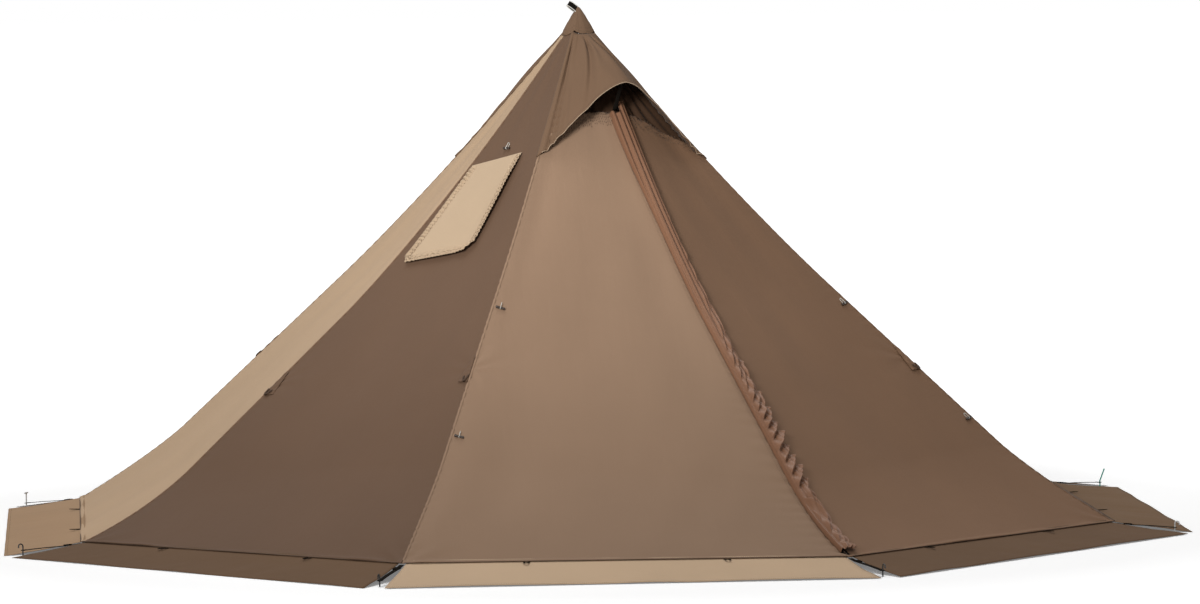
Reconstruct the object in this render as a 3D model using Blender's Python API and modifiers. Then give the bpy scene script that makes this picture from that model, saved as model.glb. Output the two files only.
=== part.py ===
"""Hot tent: an eight-sided, single-pole shelter with snow skirts, a zipped door and a stove jack.

Metres, +Z up. The origin is on the ground under the pole. The door's zip is on ridge 1, right
of the front panel, with a vent hood over it, and a second vent hood is opposite, on ridge 5.
Ridges and panels are numbered round the tent, seen from above against the clock: ridge 0 is
left of the front panel, and panel n hangs between ridge n and ridge n + 1.
"""
import math

import bmesh
import bpy
from mathutils import Matrix, Vector

# Tent body
CORNER_COUNT = 8
base_radius = 2.4
peak_height = 2.25
first_ridge_angle = math.radians(-112.5)
hem_lifts = [0.062, 0.052, 0.040, 0.038, 0.045, 0.045, 0.052, 0.040]
ridge_bows = [0.050, -0.070, 0.010, 0.0, 0.0, 0.0, 0.015, -0.070]
head_reach = 0.07
panel_sag = 0.018
cloth_thickness = 0.002
seam_gap = 0.0011
touch_gap = 0.0003
seam_fold_width = 0.016
sewn_overlap = 0.0005

# Ridge line: steep head, straight middle, flared foot
STRAIGHT_TOP_SHARES = (0.47, 0.4577)
STRAIGHT_FOOT_SHARES = (0.79, 0.1487)
CROWN_SHARE = 0.082
CROWN_POWER_SHARE = 1.73
FLARE_POWER_SHARE = 1.43
BOW_FOOT_SHARE = 0.62

# Panels by their place round the tent
DOOR_RIDGE_NUMBER = 1
REAR_VENT_RIDGE_NUMBER = 5
STAKE_RIDGE_NUMBER = 3
TEE_RIDGE_NUMBER = 6
FRONT_LEFT_PANEL = 0
FRONT_RIGHT_PANEL = 1
RIGHT_PANEL = 2
REAR_SIDE_PANEL = 3
REAR_LEFT_PANEL = 4
REAR_RIGHT_PANEL = 5
LEFT_PANEL = 6
STOVE_PANEL = 7

# Doors
vent_reach = 0.352
fold_top_inset = 0.045
fold_foot_inset = 0.045
fold_gap = 0.0016
door_hem_lift = 0.003

# Zips
zip_tape_width = 0.013
zip_tape_gap = 0.0026
slider_reach = 1.80
slider_length = 0.016
slider_plate = 0.0018
slider_plate_width = 0.0088
slider_neck_width = 0.0020
slider_clearance = 0.0008
pull_length = 0.030
pull_width = 0.009
pull_neck_width = 0.004
pull_neck_length = 0.006
pull_thickness = 0.0014
lug_width = 0.0014
lug_radius = 0.0022

# Storm flap over the zip
storm_flap_seam_width = 0.024
storm_flap_width = 0.066
storm_flap_thickness = 0.0015
storm_flap_stand_off = 0.0125
storm_flap_edge_lift = 0.004
storm_flap_ruffle = 0.011
storm_flap_top_drop = 0.022
storm_flap_foot_clearance = 0.04
STORM_FLAP_RUFFLES = 9
STORM_FLAP_GATHER_SHARES = (0.3, 0.8)

# Vent hood, its netting and its strut
hood_end_reach = 0.58
hood_peak_reach = 0.44
hood_peak_drop = 0.31
HOOD_REACH_POWER = 3
HOOD_FALL_POWER = 1.6
hood_top_lift = 0.0045
hood_seat_lift = 0.0004
hood_billow = 0.012
hood_thickness = 0.002
net_thickness = 0.0012
strut_width = 0.015
strut_thickness = 0.004
strut_foot_rise = 0.016
strut_foot_stand_off = 0.0031
strut_head_gap = 0.0005
strut_head_setback = 0.026

# Apex
cap_radius = 0.082
cap_height = 0.078
cap_top_radius = 0.016
CAP_BEND_SHARES = (0.5, 0.46)
cap_thickness = 0.003
cap_clearance = 0.0006
hang_loop_width = 0.020
hang_loop_length = 0.062
hang_loop_thickness = 0.0018
hang_loop_gap = 0.011
hang_loop_lean = math.radians(41)

# Snow skirts
skirt_width = 0.325
skirt_thickness = 0.0018
skirt_band = 0.020
skirt_corner_gap = 0.017
skirt_mitre_gap = 0.048
skirt_ripple = 0.012
SKIRT_RIPPLES = 5

# Stove opening
jack_top_drop = 0.065
jack_foot_rise = 0.060
jack_side_margin = 0.030
jack_border = 0.025
jack_thickness = 0.0015
pipe_hole_radius = 0.055
pipe_hole_length = 0.15
flap_top_reach = 0.54
flap_foot_reach = 0.945
flap_top_left_inset = 0.025
flap_top_right_inset = 0.305
flap_foot_left_inset = 0.070
flap_foot_right_inset = 0.480
flap_corner_cut = 0.034
FLAP_CUT_START_SHARE = 0.9
flap_thickness = 0.002
flap_lift = 0.0029

# Toggles
TOGGLE_REACH_SHARES = (0.50, 0.73)
TOGGLE_END_SHARE = 0.8
toggle_length = 0.042
toggle_radius = 0.0055
toggle_waist_radius = 0.0032
toggle_cord_radius = 0.0013
toggle_cord_drop = 0.028
toggle_inset = 0.034

# Guy-out patches
GUY_OUT_REACH_SHARE = 0.62
guy_out_patch_length = 0.11
guy_out_patch_width = 0.055
guy_out_patch_tip_width = 0.014
guy_out_patch_thickness = 0.0015
guy_out_inset = 0.003
guy_loop_length = 0.040
guy_loop_width = 0.026
guy_loop_strap = 0.009
guy_loop_thickness = 0.0022
guy_loop_root = 0.0018

# Webbing loops on the hem
HEM_LOOP_SHARES = (0.273, 0.727)
hem_loop_length = 0.046
hem_loop_width = 0.024
hem_loop_strap = 0.006
hem_loop_thickness = 0.002
hem_loop_stand_off = 0.010

# Corner straps, ladder locks and pegs
strap_width = 0.020
strap_thickness = 0.0016
strap_reach = 0.275
strap_peg_height = 0.024
STRAP_BEND_SHARE = 0.6
lock_distance = 0.060
lock_length = 0.034
lock_width = 0.030
lock_thickness = 0.0036
lock_bar = 0.0036
eye_thickness = 0.0024
eye_length = 0.034
eye_width = 0.022
eye_hole_radius = 0.0065
EYE_PLACE_SHARE = 1.7
peg_radius = 0.003
peg_height = 0.052
peg_hook = 0.020
stake_height = 0.086
stake_lean = 0.024
stake_bend_height = 0.032
tee_height = 0.074
tee_length = 0.034
peg_clearance = 0.0011

# Pole
pole_radius = 0.015
pole_wall = 0.0016
pole_fit = 0.0004
spigot_length = 0.070
lower_joint_height = 0.78
upper_joint_height = 1.52
pole_foot_radius = 0.024
pole_foot_height = 0.048
pole_foot_sole = 0.012
pole_tip_radius = 0.0175
pole_tip_length = 0.055
pole_tip_nose = 0.012
TIP_FLAT_SHARE = 0.6
pole_tip_grip = 0.028

# Counts of faces
HEIGHT_STEPS = 5
HOOD_SEAT_POWER = 5
PANEL_COLUMNS = 6
PANEL_ROWS = 12
DOOR_COLUMNS = 5
SKIRT_COLUMNS = 15
SKIRT_ROW_COUNT = 2
HOOD_COLUMNS = 12
HOOD_ROWS = 5
TURNED_STEPS = 20
TOGGLE_STEPS = 8
EYE_STEPS = 12
TOGGLE_CORD_BENDS = 4
PEG_BENDS = 4
STORM_FLAP_COLUMNS = 6
STORM_FLAP_ROWS = 30

PARTS_NAME = "hot_tent"
weld_distance = 0.00001
small_step = 0.0005
cut_overrun = 0.02

COLOURS = {
    "tan_cloth": ((0.33, 0.25, 0.17), 0.85, 0.0),
    "brown_cloth": ((0.15, 0.10, 0.07), 0.85, 0.0),
    "light_cloth": ((0.52, 0.42, 0.30), 0.85, 0.0),
    "dark_net": ((0.02, 0.018, 0.015), 0.9, 0.0),
    "black_webbing": ((0.015, 0.015, 0.015), 0.8, 0.0),
    "black_plastic": ((0.02, 0.02, 0.02), 0.45, 0.0),
    "dark_wood": ((0.11, 0.06, 0.035), 0.5, 0.0),
    "heat_cloth": ((0.25, 0.24, 0.22), 0.7, 0.0),
    "steel": ((0.09, 0.09, 0.09), 0.4, 0.9),
    "pole_metal": ((0.35, 0.35, 0.36), 0.35, 0.9),
    "rubber": ((0.02, 0.02, 0.02), 0.9, 0.0),
}


def clear_scene():
    """Take away whatever the file opened with."""
    for item in list(bpy.data.objects):
        bpy.data.objects.remove(item, do_unlink=True)


def make_collection(name):
    """A collection under the scene, made new."""
    collection = bpy.data.collections.new(name)
    bpy.context.scene.collection.children.link(collection)
    return collection


def finish_material(name):
    """The Principled material of one finish, made once."""
    if name in bpy.data.materials:
        return bpy.data.materials[name]
    colour, roughness, metallic = COLOURS[name]
    material = bpy.data.materials.new(name)
    material.use_nodes = True
    shader = material.node_tree.nodes["Principled BSDF"]
    shader.inputs["Base Color"].default_value = (*colour, 1.0)
    shader.inputs["Roughness"].default_value = roughness
    shader.inputs["Metallic"].default_value = metallic
    return material


def add_object(name, mesh, finish, collection=PARTS_NAME):
    """Put a mesh or curve in the collection as an object with its own material."""
    item = bpy.data.objects.new(name, mesh)
    bpy.data.collections[collection].objects.link(item)
    if finish:
        mesh.materials.append(finish_material(finish))
    return item


def lerp(low, high, share):
    """The value or point at a share of the way from low to high."""
    return low + (high - low) * share


def smooth(share):
    """An eased 0 to 1."""
    share = min(max(share, 0.0), 1.0)
    return share * share * (3 - 2 * share)


def ridge_angle(ridge):
    """Direction of a ridge seen from above."""
    return first_ridge_angle + ridge % CORNER_COUNT * math.tau / CORNER_COUNT


def panel_angle(panel):
    """Direction that a panel faces."""
    return first_ridge_angle + (panel % CORNER_COUNT + 0.5) * math.tau / CORNER_COUNT


def outward(angle):
    """Unit vector away from the pole."""
    return Vector((math.cos(angle), math.sin(angle), 0.0))


def sideways(angle):
    """Unit vector against the clock round the tent."""
    return Vector((-math.sin(angle), math.cos(angle), 0.0))


def line_share(reach_share):
    """Height share on the straight stretch's line."""
    top_reach, top_height = STRAIGHT_TOP_SHARES
    foot_reach, foot_height = STRAIGHT_FOOT_SHARES
    slope = (foot_height - top_height) / (foot_reach - top_reach)
    return top_height + slope * (reach_share - top_reach)


def ridge_height_share(reach_share):
    """Height of the ridge line as a share, from its reach as a share."""
    height = line_share(reach_share)
    top_reach = STRAIGHT_TOP_SHARES[0]
    foot_reach = STRAIGHT_FOOT_SHARES[0]
    if reach_share < top_reach:
        climb = (top_reach - reach_share) / top_reach
        height += CROWN_SHARE * climb ** CROWN_POWER_SHARE
    if reach_share > foot_reach:
        spread = (reach_share - foot_reach) / (1 - foot_reach)
        height -= line_share(1) * spread ** FLARE_POWER_SHARE
    return height


def bow_share(reach_share):
    """Share of a ridge's own bow, up or down, that it has at a reach share. It keeps the straight stretch."""
    top_reach = STRAIGHT_TOP_SHARES[0]
    foot_reach = STRAIGHT_FOOT_SHARES[0]
    if reach_share < top_reach:
        return 1 - (1 - reach_share / top_reach) ** 2
    if reach_share < foot_reach:
        return lerp(1, BOW_FOOT_SHARE, (reach_share - top_reach) / (foot_reach - top_reach))
    return BOW_FOOT_SHARE * (1 - ((reach_share - foot_reach) / (1 - foot_reach)) ** 2)


def ridge_point(ridge, reach):
    """Point on the outer face of a ridge at a distance from the pole."""
    lift = hem_lifts[ridge % CORNER_COUNT]
    height = lift + ridge_height_share(reach / base_radius) * (peak_height - lift)
    height += ridge_bows[ridge % CORNER_COUNT] * bow_share(reach / base_radius)
    point = outward(ridge_angle(ridge)) * reach
    point.z = height
    return point


def panel_width(reach):
    """Straight distance from ridge to ridge."""
    return 2 * reach * math.sin(math.pi / CORNER_COUNT)


def panel_point(panel, across, reach):
    """Point on a panel's outer face: across runs 0 to 1 from ridge to ridge."""
    point = lerp(ridge_point(panel, reach), ridge_point(panel + 1, reach), across)
    depth = math.sin(math.pi * (reach - head_reach) / (base_radius - head_reach))
    inward = panel_sag * 4 * across * (1 - across) * max(depth, 0.0)
    return point - outward(panel_angle(panel)) * inward


def panel_normal(panel, across, reach):
    """Unit normal of a panel's outer face."""
    step = small_step / panel_width(reach)
    side = panel_point(panel, across + step, reach) - panel_point(panel, across - step, reach)
    down = panel_point(panel, across, reach + small_step) - panel_point(panel, across, reach - small_step)
    return down.cross(side).normalized()


def panel_skin(panel, across, reach, lift):
    """Point at a height over a panel."""
    return panel_point(panel, across, reach) + panel_normal(panel, across, reach) * lift


def ridge_skin(ridge, offset, reach, lift, fold=seam_fold_width):
    """Point at a height over a ridge, offset to its left (minus) or right (plus) panel."""
    share = abs(offset) / panel_width(reach)
    if offset < 0:
        point = panel_point(ridge - 1, 1 - share, reach)
    else:
        point = panel_point(ridge, share, reach)
    left = panel_normal(ridge - 1, 1 - share, reach)
    right = panel_normal(ridge, share, reach)
    turn = smooth(0.5 + offset / (2 * fold))
    return point + lerp(left, right, turn).normalized() * lift


def sheet(name, place, columns, rows, thickness, finish, collection=PARTS_NAME):
    """A closed cloth sheet. place(across, down) gives its outer face."""
    shape = bmesh.new()
    bmesh.ops.create_grid(shape, x_segments=columns, y_segments=rows, size=0.5)
    for vertex in shape.verts:
        vertex.co = place(vertex.co.x + 0.5, 0.5 - vertex.co.y)
    mesh = bpy.data.meshes.new(name)
    shape.to_mesh(mesh)
    shape.free()
    item = add_object(name, mesh, finish, collection)
    thicken(item, thickness)
    return item


def thicken(item, thickness):
    """Give an open sheet its wall, inward from its outer face."""
    wall = item.modifiers.new("wall", "SOLIDIFY")
    wall.thickness = thickness
    wall.offset = -1


def flat_outline(name, outline, thickness, place, finish, holes=(), collection=PARTS_NAME):
    """A flat piece cut to an outline, in the plane of place's X and Y."""
    curve = bpy.data.curves.new(name, "CURVE")
    curve.dimensions = "2D"
    curve.fill_mode = "BOTH"
    curve.extrude = thickness / 2
    for points in (outline, *holes):
        spline = curve.splines.new("POLY")
        spline.points.add(len(points) - 1)
        for knot, (x, y) in zip(spline.points, points):
            knot.co = (x, y, 0.0, 1.0)
        spline.use_cyclic_u = True
    item = add_object(name, curve, finish, collection)
    item.matrix_world = place
    return item


def tube(name, points, radius, finish, cyclic=False, resolution=1):
    """A round cord, wire or rod along points."""
    curve = bpy.data.curves.new(name, "CURVE")
    curve.dimensions = "3D"
    curve.bevel_depth = radius
    curve.bevel_resolution = resolution
    curve.use_fill_caps = not cyclic
    spline = curve.splines.new("POLY")
    spline.points.add(len(points) - 1)
    for knot, point in zip(spline.points, points):
        knot.co = (*point, 1.0)
    spline.use_cyclic_u = cyclic
    return add_object(name, curve, finish)


def turned(name, profile, steps, place, finish, closed=False):
    """A turned piece from (radius, height) points, top to bottom."""
    mesh = bpy.data.meshes.new(name)
    verts = [(radius, 0.0, height) for radius, height in profile]
    edges = [(index, index + 1) for index in range(len(verts) - 1)]
    if closed:
        edges.append((len(verts) - 1, 0))
    mesh.from_pydata(verts, edges, [])
    item = add_object(name, mesh, finish)
    spin = item.modifiers.new("spin", "SCREW")
    spin.steps = steps
    spin.render_steps = steps
    spin.use_merge_vertices = True
    spin.merge_threshold = weld_distance
    item.matrix_world = place
    return item


def to_mesh(item):
    """Replace an object by a plain mesh of its evaluated shape, in world places."""
    bpy.context.view_layer.update()
    graph = bpy.context.evaluated_depsgraph_get()
    mesh = bpy.data.meshes.new_from_object(item.evaluated_get(graph))
    mesh.transform(item.matrix_world)
    shape = bmesh.new()
    shape.from_mesh(mesh)
    bmesh.ops.remove_doubles(shape, verts=shape.verts, dist=weld_distance)
    bmesh.ops.recalc_face_normals(shape, faces=shape.faces)
    shape.to_mesh(mesh)
    shape.free()
    return mesh


def combine(target, tool, operation):
    """Cut or join two pieces for good; the tool goes."""
    name = target.name
    finish = target.data.materials[0].name
    first = add_object(name + "_a", to_mesh(target), None)
    second = add_object(name + "_b", to_mesh(tool), None)
    for old in (target, tool):
        bpy.data.objects.remove(old, do_unlink=True)
    step = first.modifiers.new("combine", "BOOLEAN")
    step.operation = operation
    if operation == "UNION":
        step.solver = "MANIFOLD"
    step.object = second
    result = add_object(name, to_mesh(first), None)
    result.data.materials.clear()
    result.data.materials.append(finish_material(finish))
    for old in (first, second):
        bpy.data.objects.remove(old, do_unlink=True)
    result.name = name
    return result


def sew_on(base, items):
    """Fuse small sewn pieces to the piece that carries them."""
    for item in items:
        base = combine(base, item, "UNION")
    return base


def frame_at(origin, x_axis, z_axis):
    """A right-handed place: X as near x_axis as it can be, Z along z_axis."""
    z_unit = z_axis.normalized()
    y_unit = z_unit.cross(x_axis).normalized()
    x_unit = y_unit.cross(z_unit)
    turn = Matrix((x_unit, y_unit, z_unit)).transposed().to_4x4()
    return Matrix.Translation(origin) @ turn


def rounded_box(length, width, radius, corner_points=2):
    """Outline of a rectangle with round corners, centred."""
    points = []
    for corner in range(4):
        turn = corner * math.pi / 2
        signs = ((1, 1), (-1, 1), (-1, -1), (1, -1))[corner]
        centre = (signs[0] * (length / 2 - radius), signs[1] * (width / 2 - radius))
        for step in range(corner_points):
            angle = turn + step / (corner_points - 1) * math.pi / 2
            points.append((centre[0] + radius * math.cos(angle), centre[1] + radius * math.sin(angle)))
    return points


def circle(radius, count, centre=(0.0, 0.0)):
    """Outline of a circle."""
    angles = [math.tau * index / count for index in range(count)]
    return [(centre[0] + radius * math.cos(a), centre[1] + radius * math.sin(a)) for a in angles]


def set_pivot(item, point):
    """Move an object's origin to its joint's axis without moving its shape."""
    shift = item.matrix_world.inverted() @ point
    item.data.transform(Matrix.Translation(-shift))
    item.matrix_world = item.matrix_world @ Matrix.Translation(shift)


def hang_on(pivot, items):
    """Parent pieces to the empty on their joint's axis."""
    bpy.context.view_layer.update()
    for item in items:
        item.parent = pivot
        item.matrix_parent_inverse = pivot.matrix_world.inverted()


def pivot_empty(name, point):
    """An empty on a joint's axis."""
    pivot = bpy.data.objects.new(name, None)
    bpy.data.collections[PARTS_NAME].objects.link(pivot)
    pivot.location = point
    return pivot


def trimmed(across, reach):
    """Across share with the seam gap taken off at both ridges."""
    inset = seam_gap / panel_width(reach)
    return lerp(inset, 1 - inset, across)


def reach_at(down, top=head_reach):
    """Distance from the pole at a share of the way down; the last row of faces is the hem's band."""
    last = (PANEL_ROWS - 1) / PANEL_ROWS
    if down > last:
        return lerp(base_radius - skirt_band, base_radius, (down - last) * PANEL_ROWS)
    return lerp(top, base_radius - skirt_band, down / last)


def on_rows(place, reach, top):
    """A point of place(reach) as the panels' straight faces have it, from row to row."""
    rows = [reach_at(row / PANEL_ROWS, top) for row in range(PANEL_ROWS + 1)]
    low = max(index for index in range(PANEL_ROWS) if index == 0 or rows[index] <= reach)
    share = (reach - rows[low]) / (rows[low + 1] - rows[low])
    return lerp(place(rows[low]), place(rows[low + 1]), share)


def facet_skin(panel, across, reach, lift, top=head_reach):
    """Point at a height over the flat faces of a panel."""
    column = min(int(across * PANEL_COLUMNS), PANEL_COLUMNS - 1)

    def place(row_reach):
        low = panel_point(panel, column / PANEL_COLUMNS, row_reach)
        high = panel_point(panel, (column + 1) / PANEL_COLUMNS, row_reach)
        return lerp(low, high, across * PANEL_COLUMNS - column)
    return on_rows(place, reach, top) + panel_normal(panel, across, reach) * lift


def facet_frame(panel, across, reach, top=head_reach):
    """Place on a panel's faces: X down the slope, Z out."""
    point = facet_skin(panel, across, reach, 0.0, top)
    down = facet_skin(panel, across, reach + small_step, 0.0, top) - point
    return frame_at(point, down, panel_normal(panel, across, reach))


def plain_panel(name, panel, finish, top=head_reach):
    """A whole panel with no door in it. Under a vent it starts at the vent."""
    def place(across, down):
        reach = reach_at(down, top)
        return panel_point(panel, trimmed(across, reach), reach)
    return sheet(name, place, PANEL_COLUMNS, PANEL_ROWS, cloth_thickness, finish)


def door_top_reach():
    """Distance from the pole where the door starts, just below the vent's netting."""
    return vent_reach + touch_gap


def door_fold(door_ridge, side):
    """Both ends of the line that a door leaf folds back on. Side is -1 left, 1 right."""
    panel = door_ridge - 1 if side < 0 else door_ridge
    top_share = fold_top_inset / panel_width(vent_reach)
    foot_share = fold_foot_inset / panel_width(base_radius)
    if side < 0:
        return panel_point(panel, 1 - top_share, vent_reach), panel_point(panel, foot_share, base_radius)
    return panel_point(panel, top_share, vent_reach), panel_point(panel, 1 - foot_share, base_radius)


def fold_across(door_ridge, side, reach):
    """Across share of the fold line at a distance from the pole."""
    panel = door_ridge - 1 if side < 0 else door_ridge
    top, foot = door_fold(door_ridge, side)
    axis = (foot - top).normalized()
    face = panel_normal(panel, 0.5, lerp(vent_reach, base_radius, 0.5))
    across_axis = axis.cross(face)
    low = ridge_point(panel, reach)
    high = ridge_point(panel + 1, reach)
    return (top - low).dot(across_axis) / (high - low).dot(across_axis)


def door_leaf(name, door_ridge, side, finish):
    """The part of a door panel that opens, from its fold to the zip tape."""
    panel = door_ridge - 1 if side < 0 else door_ridge
    zip_inset = zip_tape_gap + zip_tape_width + touch_gap

    def place(across, down):
        reach = reach_at(down, door_top_reach())
        width = panel_width(reach)
        fold = fold_across(door_ridge, side, reach)
        if side < 0:
            return panel_point(panel, lerp(fold + fold_gap / width, 1 - zip_inset / width, across), reach)
        return panel_point(panel, lerp(zip_inset / width, fold - fold_gap / width, across), reach)
    return sheet(name, place, DOOR_COLUMNS, PANEL_ROWS, cloth_thickness, finish)


def door_surround(name, door_ridge, side, finish):
    """The part of a door panel that stays, between the outer ridge and the fold."""
    panel = door_ridge - 1 if side < 0 else door_ridge

    def place(across, down):
        reach = reach_at(down, door_top_reach())
        width = panel_width(reach)
        fold = fold_across(door_ridge, side, reach)
        if side < 0:
            return panel_point(panel, lerp(seam_gap / width, fold - fold_gap / width, across), reach)
        return panel_point(panel, lerp(fold + fold_gap / width, 1 - seam_gap / width, across), reach)
    return sheet(name, place, DOOR_COLUMNS, PANEL_ROWS, cloth_thickness, finish)


def zip_tape(name, door_ridge, side, finish):
    """One half of the zip, beside the ridge line."""
    def place(across, down):
        reach = reach_at(down, door_top_reach())
        low, high = sorted((side * zip_tape_gap, side * (zip_tape_gap + zip_tape_width)))
        return ridge_skin(door_ridge, lerp(low, high, across), reach, 0.0)
    return sheet(name, place, 1, PANEL_ROWS, cloth_thickness, finish)


def zip_frame(door_ridge, reach):
    """Place on a door's ridge: X down the slope, Y to the right, Z out."""
    point = on_rows(lambda row: ridge_point(door_ridge, row), reach, door_top_reach())
    lower = on_rows(lambda row: ridge_point(door_ridge, row), reach + small_step, door_top_reach())
    down = lower - point
    side = sideways(ridge_angle(door_ridge))
    return frame_at(point, down, down.cross(side))


def zip_slider(name, door_ridge, finish):
    """The slider: two plates and a neck astride the left tape, with two lugs for its pull."""
    frame = zip_frame(door_ridge, slider_reach)
    fall = math.tan(ridge_fold_angle(door_ridge, slider_reach) / 2)
    left = -(zip_tape_gap / 2 + slider_plate_width)
    right = slider_neck_width / 2
    upper = slider_clearance
    lower = -cloth_thickness - fall * slider_plate_width - 2 * slider_clearance
    outline = [
        (left, upper), (right - slider_neck_width, upper), (right - slider_neck_width, lower),
        (left, lower), (left, lower - slider_plate), (right, lower - slider_plate),
        (right, upper + slider_plate), (left, upper + slider_plate),
    ]
    cross = Matrix(((0, 0, 1, 0), (1, 0, 0, 0), (0, 1, 0, 0), (0, 0, 0, 1)))
    body = flat_outline(name, outline, slider_length, frame @ cross, finish)
    for number, centre in enumerate(lug_centres()):
        height = upper + slider_plate + lug_radius - small_step
        lug_place = frame @ Matrix.Translation((slider_length / 4, centre, height)) @ Matrix.Rotation(
            math.pi / 2, 4, "X")
        lug = flat_outline(f"{name}_lug_{number}", circle(lug_radius, 10), lug_width, lug_place, finish)
        body = combine(body, lug, "UNION")
    return body


def lug_centres():
    """Sideways places of the two lugs, either side of the pull's neck."""
    middle = pull_centre()
    spread = pull_neck_width / 2 + touch_gap + lug_width / 2
    return middle - spread, middle + spread


def pull_centre():
    """Sideways place of the pull on the slider."""
    return -(slider_plate_width - slider_neck_width) / 2 - zip_tape_gap / 2


def pull_pivot(door_ridge):
    """Place of the pull's pivot: X down the slope, Z out."""
    height = slider_clearance + slider_plate + lug_radius + small_step
    frame = zip_frame(door_ridge, slider_reach)
    return frame @ Matrix.Translation((slider_length / 4, pull_centre(), height))


def zip_pull(name, door_ridge, finish):
    """The pull: a plate whose neck turns between the slider's lugs."""
    frame = pull_pivot(door_ridge)
    neck = pull_neck_width / 2
    wide = pull_width / 2
    outline = [
        (-neck / 2, -neck), (pull_neck_length, -neck), (pull_neck_length + neck, -wide),
        (pull_length - neck, -wide), (pull_length, -neck), (pull_length, neck), (pull_length - neck, wide),
        (pull_neck_length + neck, wide), (pull_neck_length, neck), (-neck / 2, neck),
    ]
    return flat_outline(name, outline, pull_thickness, frame, finish)


def ridge_fold_angle(ridge, reach):
    """Angle between the two panels' normals at a ridge."""
    left = panel_normal(ridge - 1, 1 - small_step, reach)
    right = panel_normal(ridge, small_step, reach)
    return left.angle(right)


def storm_flap_lift(offset, down):
    """Height of the storm flap over the panels: a tunnel over the zip and a ruffled free edge."""
    rise = smooth((offset + storm_flap_seam_width) / (storm_flap_seam_width / 2))
    fall = smooth((offset - pull_width) / (storm_flap_width - pull_width))
    base = storm_flap_thickness + 2 * touch_gap
    lift = lerp(base, storm_flap_stand_off, rise)
    lift = lerp(lift, storm_flap_edge_lift + storm_flap_thickness, fall)
    start, full = STORM_FLAP_GATHER_SHARES
    strength = smooth((down - start) / (full - start)) * fall
    wave = 0.5 + 0.5 * math.sin(math.tau * STORM_FLAP_RUFFLES * down * down)
    return lift + storm_flap_ruffle * strength * wave


def storm_flap(name, door_ridge, finish):
    """The flap sewn to the left leaf that covers the zip, gathered in its lower half."""
    def place(across, down):
        reach = lerp(vent_reach + storm_flap_top_drop, base_radius - storm_flap_foot_clearance, down)
        offset = lerp(-storm_flap_seam_width, storm_flap_width, across)
        lift = storm_flap_lift(offset, down)
        return on_rows(lambda row: ridge_skin(door_ridge, offset, row, lift, storm_flap_width / 2), reach,
                       door_top_reach())
    return sheet(name, place, STORM_FLAP_COLUMNS, STORM_FLAP_ROWS, storm_flap_thickness, finish)


def hood_lip(door_ridge, turn):
    """Point on a hood's free edge. Turn runs -1 to 1 from ridge to ridge."""
    spread = abs(turn)
    reach = lerp(hood_peak_reach, hood_end_reach, spread ** HOOD_REACH_POWER)
    end = ridge_point(door_ridge + (1 if turn > 0 else -1), hood_end_reach).z
    height = lerp(peak_height - hood_peak_drop, end, spread ** HOOD_FALL_POWER)
    angle = ridge_angle(door_ridge) + turn * math.tau / CORNER_COUNT
    point = outward(angle) * reach
    point.z = height
    return point


def hood_point(door_ridge, turn, down):
    """Point on the outer face of a hood; its sides lie on the ridges beside the door."""
    lip = hood_lip(door_ridge, turn)
    angle = ridge_angle(door_ridge) + turn * math.tau / CORNER_COUNT
    ridge = door_ridge + (1 if turn > 0 else -1)
    top = outward(angle) * head_reach
    top.z = ridge_point(door_ridge, head_reach).z
    point = lerp(top, lip, down)
    seat = abs(turn) ** HOOD_SEAT_POWER
    point.z = lerp(point.z, seam_height(ridge, math.hypot(point.x, point.y)), seat)
    billow = hood_billow * math.sin(math.pi * down) * (1 - turn * turn)
    away = (outward(angle) + Vector((0, 0, 1))).normalized()
    return point + away * (lerp(hood_top_lift, hood_seat_lift, seat) + hood_thickness + billow)


def seam_height(ridge, reach):
    """Height of the higher of the two panels' faces that meet on a ridge."""
    heights = [on_rows(lambda row: ridge_point(ridge, row), reach, head_reach).z]
    if reach > door_top_reach():
        heights.append(on_rows(lambda row: ridge_point(ridge, row), reach, door_top_reach()).z)
    return max(heights)


def vent_hood(name, door_ridge, finish):
    """The weather hood over a vent: an open, lipped cone from ridge to ridge."""
    def place(across, down):
        return hood_point(door_ridge, lerp(-1, 1, across), down)
    return sheet(name, place, HOOD_COLUMNS, HOOD_ROWS, hood_thickness, finish)


def vent_net(name, door_ridge, finish):
    """The insect netting under a hood, bent over the door's ridge."""
    def place(across, down):
        reach = lerp(head_reach, vent_reach - touch_gap, down)
        if across < 0.5:
            return panel_point(door_ridge - 1, lerp(seam_gap / panel_width(reach), 1, across * 2), reach)
        return panel_point(door_ridge, lerp(0, 1 - seam_gap / panel_width(reach), across * 2 - 1), reach)
    return sheet(name, place, PANEL_COLUMNS, 4, net_thickness, finish)


def strut_ends(door_ridge):
    """Foot and head of the strut that props a hood."""
    side_angle = ridge_angle(door_ridge)
    foot = ridge_skin(door_ridge, 0.0, vent_reach - strut_foot_rise, strut_foot_stand_off)
    head = hood_lip(door_ridge, 0.0) - outward(side_angle) * strut_head_setback
    share = (hood_peak_reach - strut_head_setback - head_reach) / (hood_peak_reach - head_reach)
    under = hood_point(door_ridge, 0.0, share)
    head.z = under.z - hood_thickness - strut_head_gap
    return foot, head


def vent_strut(name, door_ridge, finish):
    """The stiff batten that props a hood; it turns on its foot."""
    foot, head = strut_ends(door_ridge)
    along = head - foot
    side = sideways(ridge_angle(door_ridge))
    length = along.length
    centre = (foot + head) / 2
    place = frame_at(centre, along, along.cross(side))
    outline = rounded_box(length + strut_thickness, strut_width, strut_width / 2 - small_step)
    strut = flat_outline(name, outline, strut_thickness, place, finish)
    set_pivot(strut, foot)
    return strut


def hood_height_at(ridge, reach):
    """Height of a hood's outer face in its middle, at a distance from the pole."""
    span = hood_peak_reach - head_reach
    share = (reach - head_reach) / span
    for _ in range(HEIGHT_STEPS):
        point = hood_point(ridge, 0.0, share)
        share += (reach - math.hypot(point.x, point.y)) / span
    return hood_point(ridge, 0.0, share).z


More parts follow.
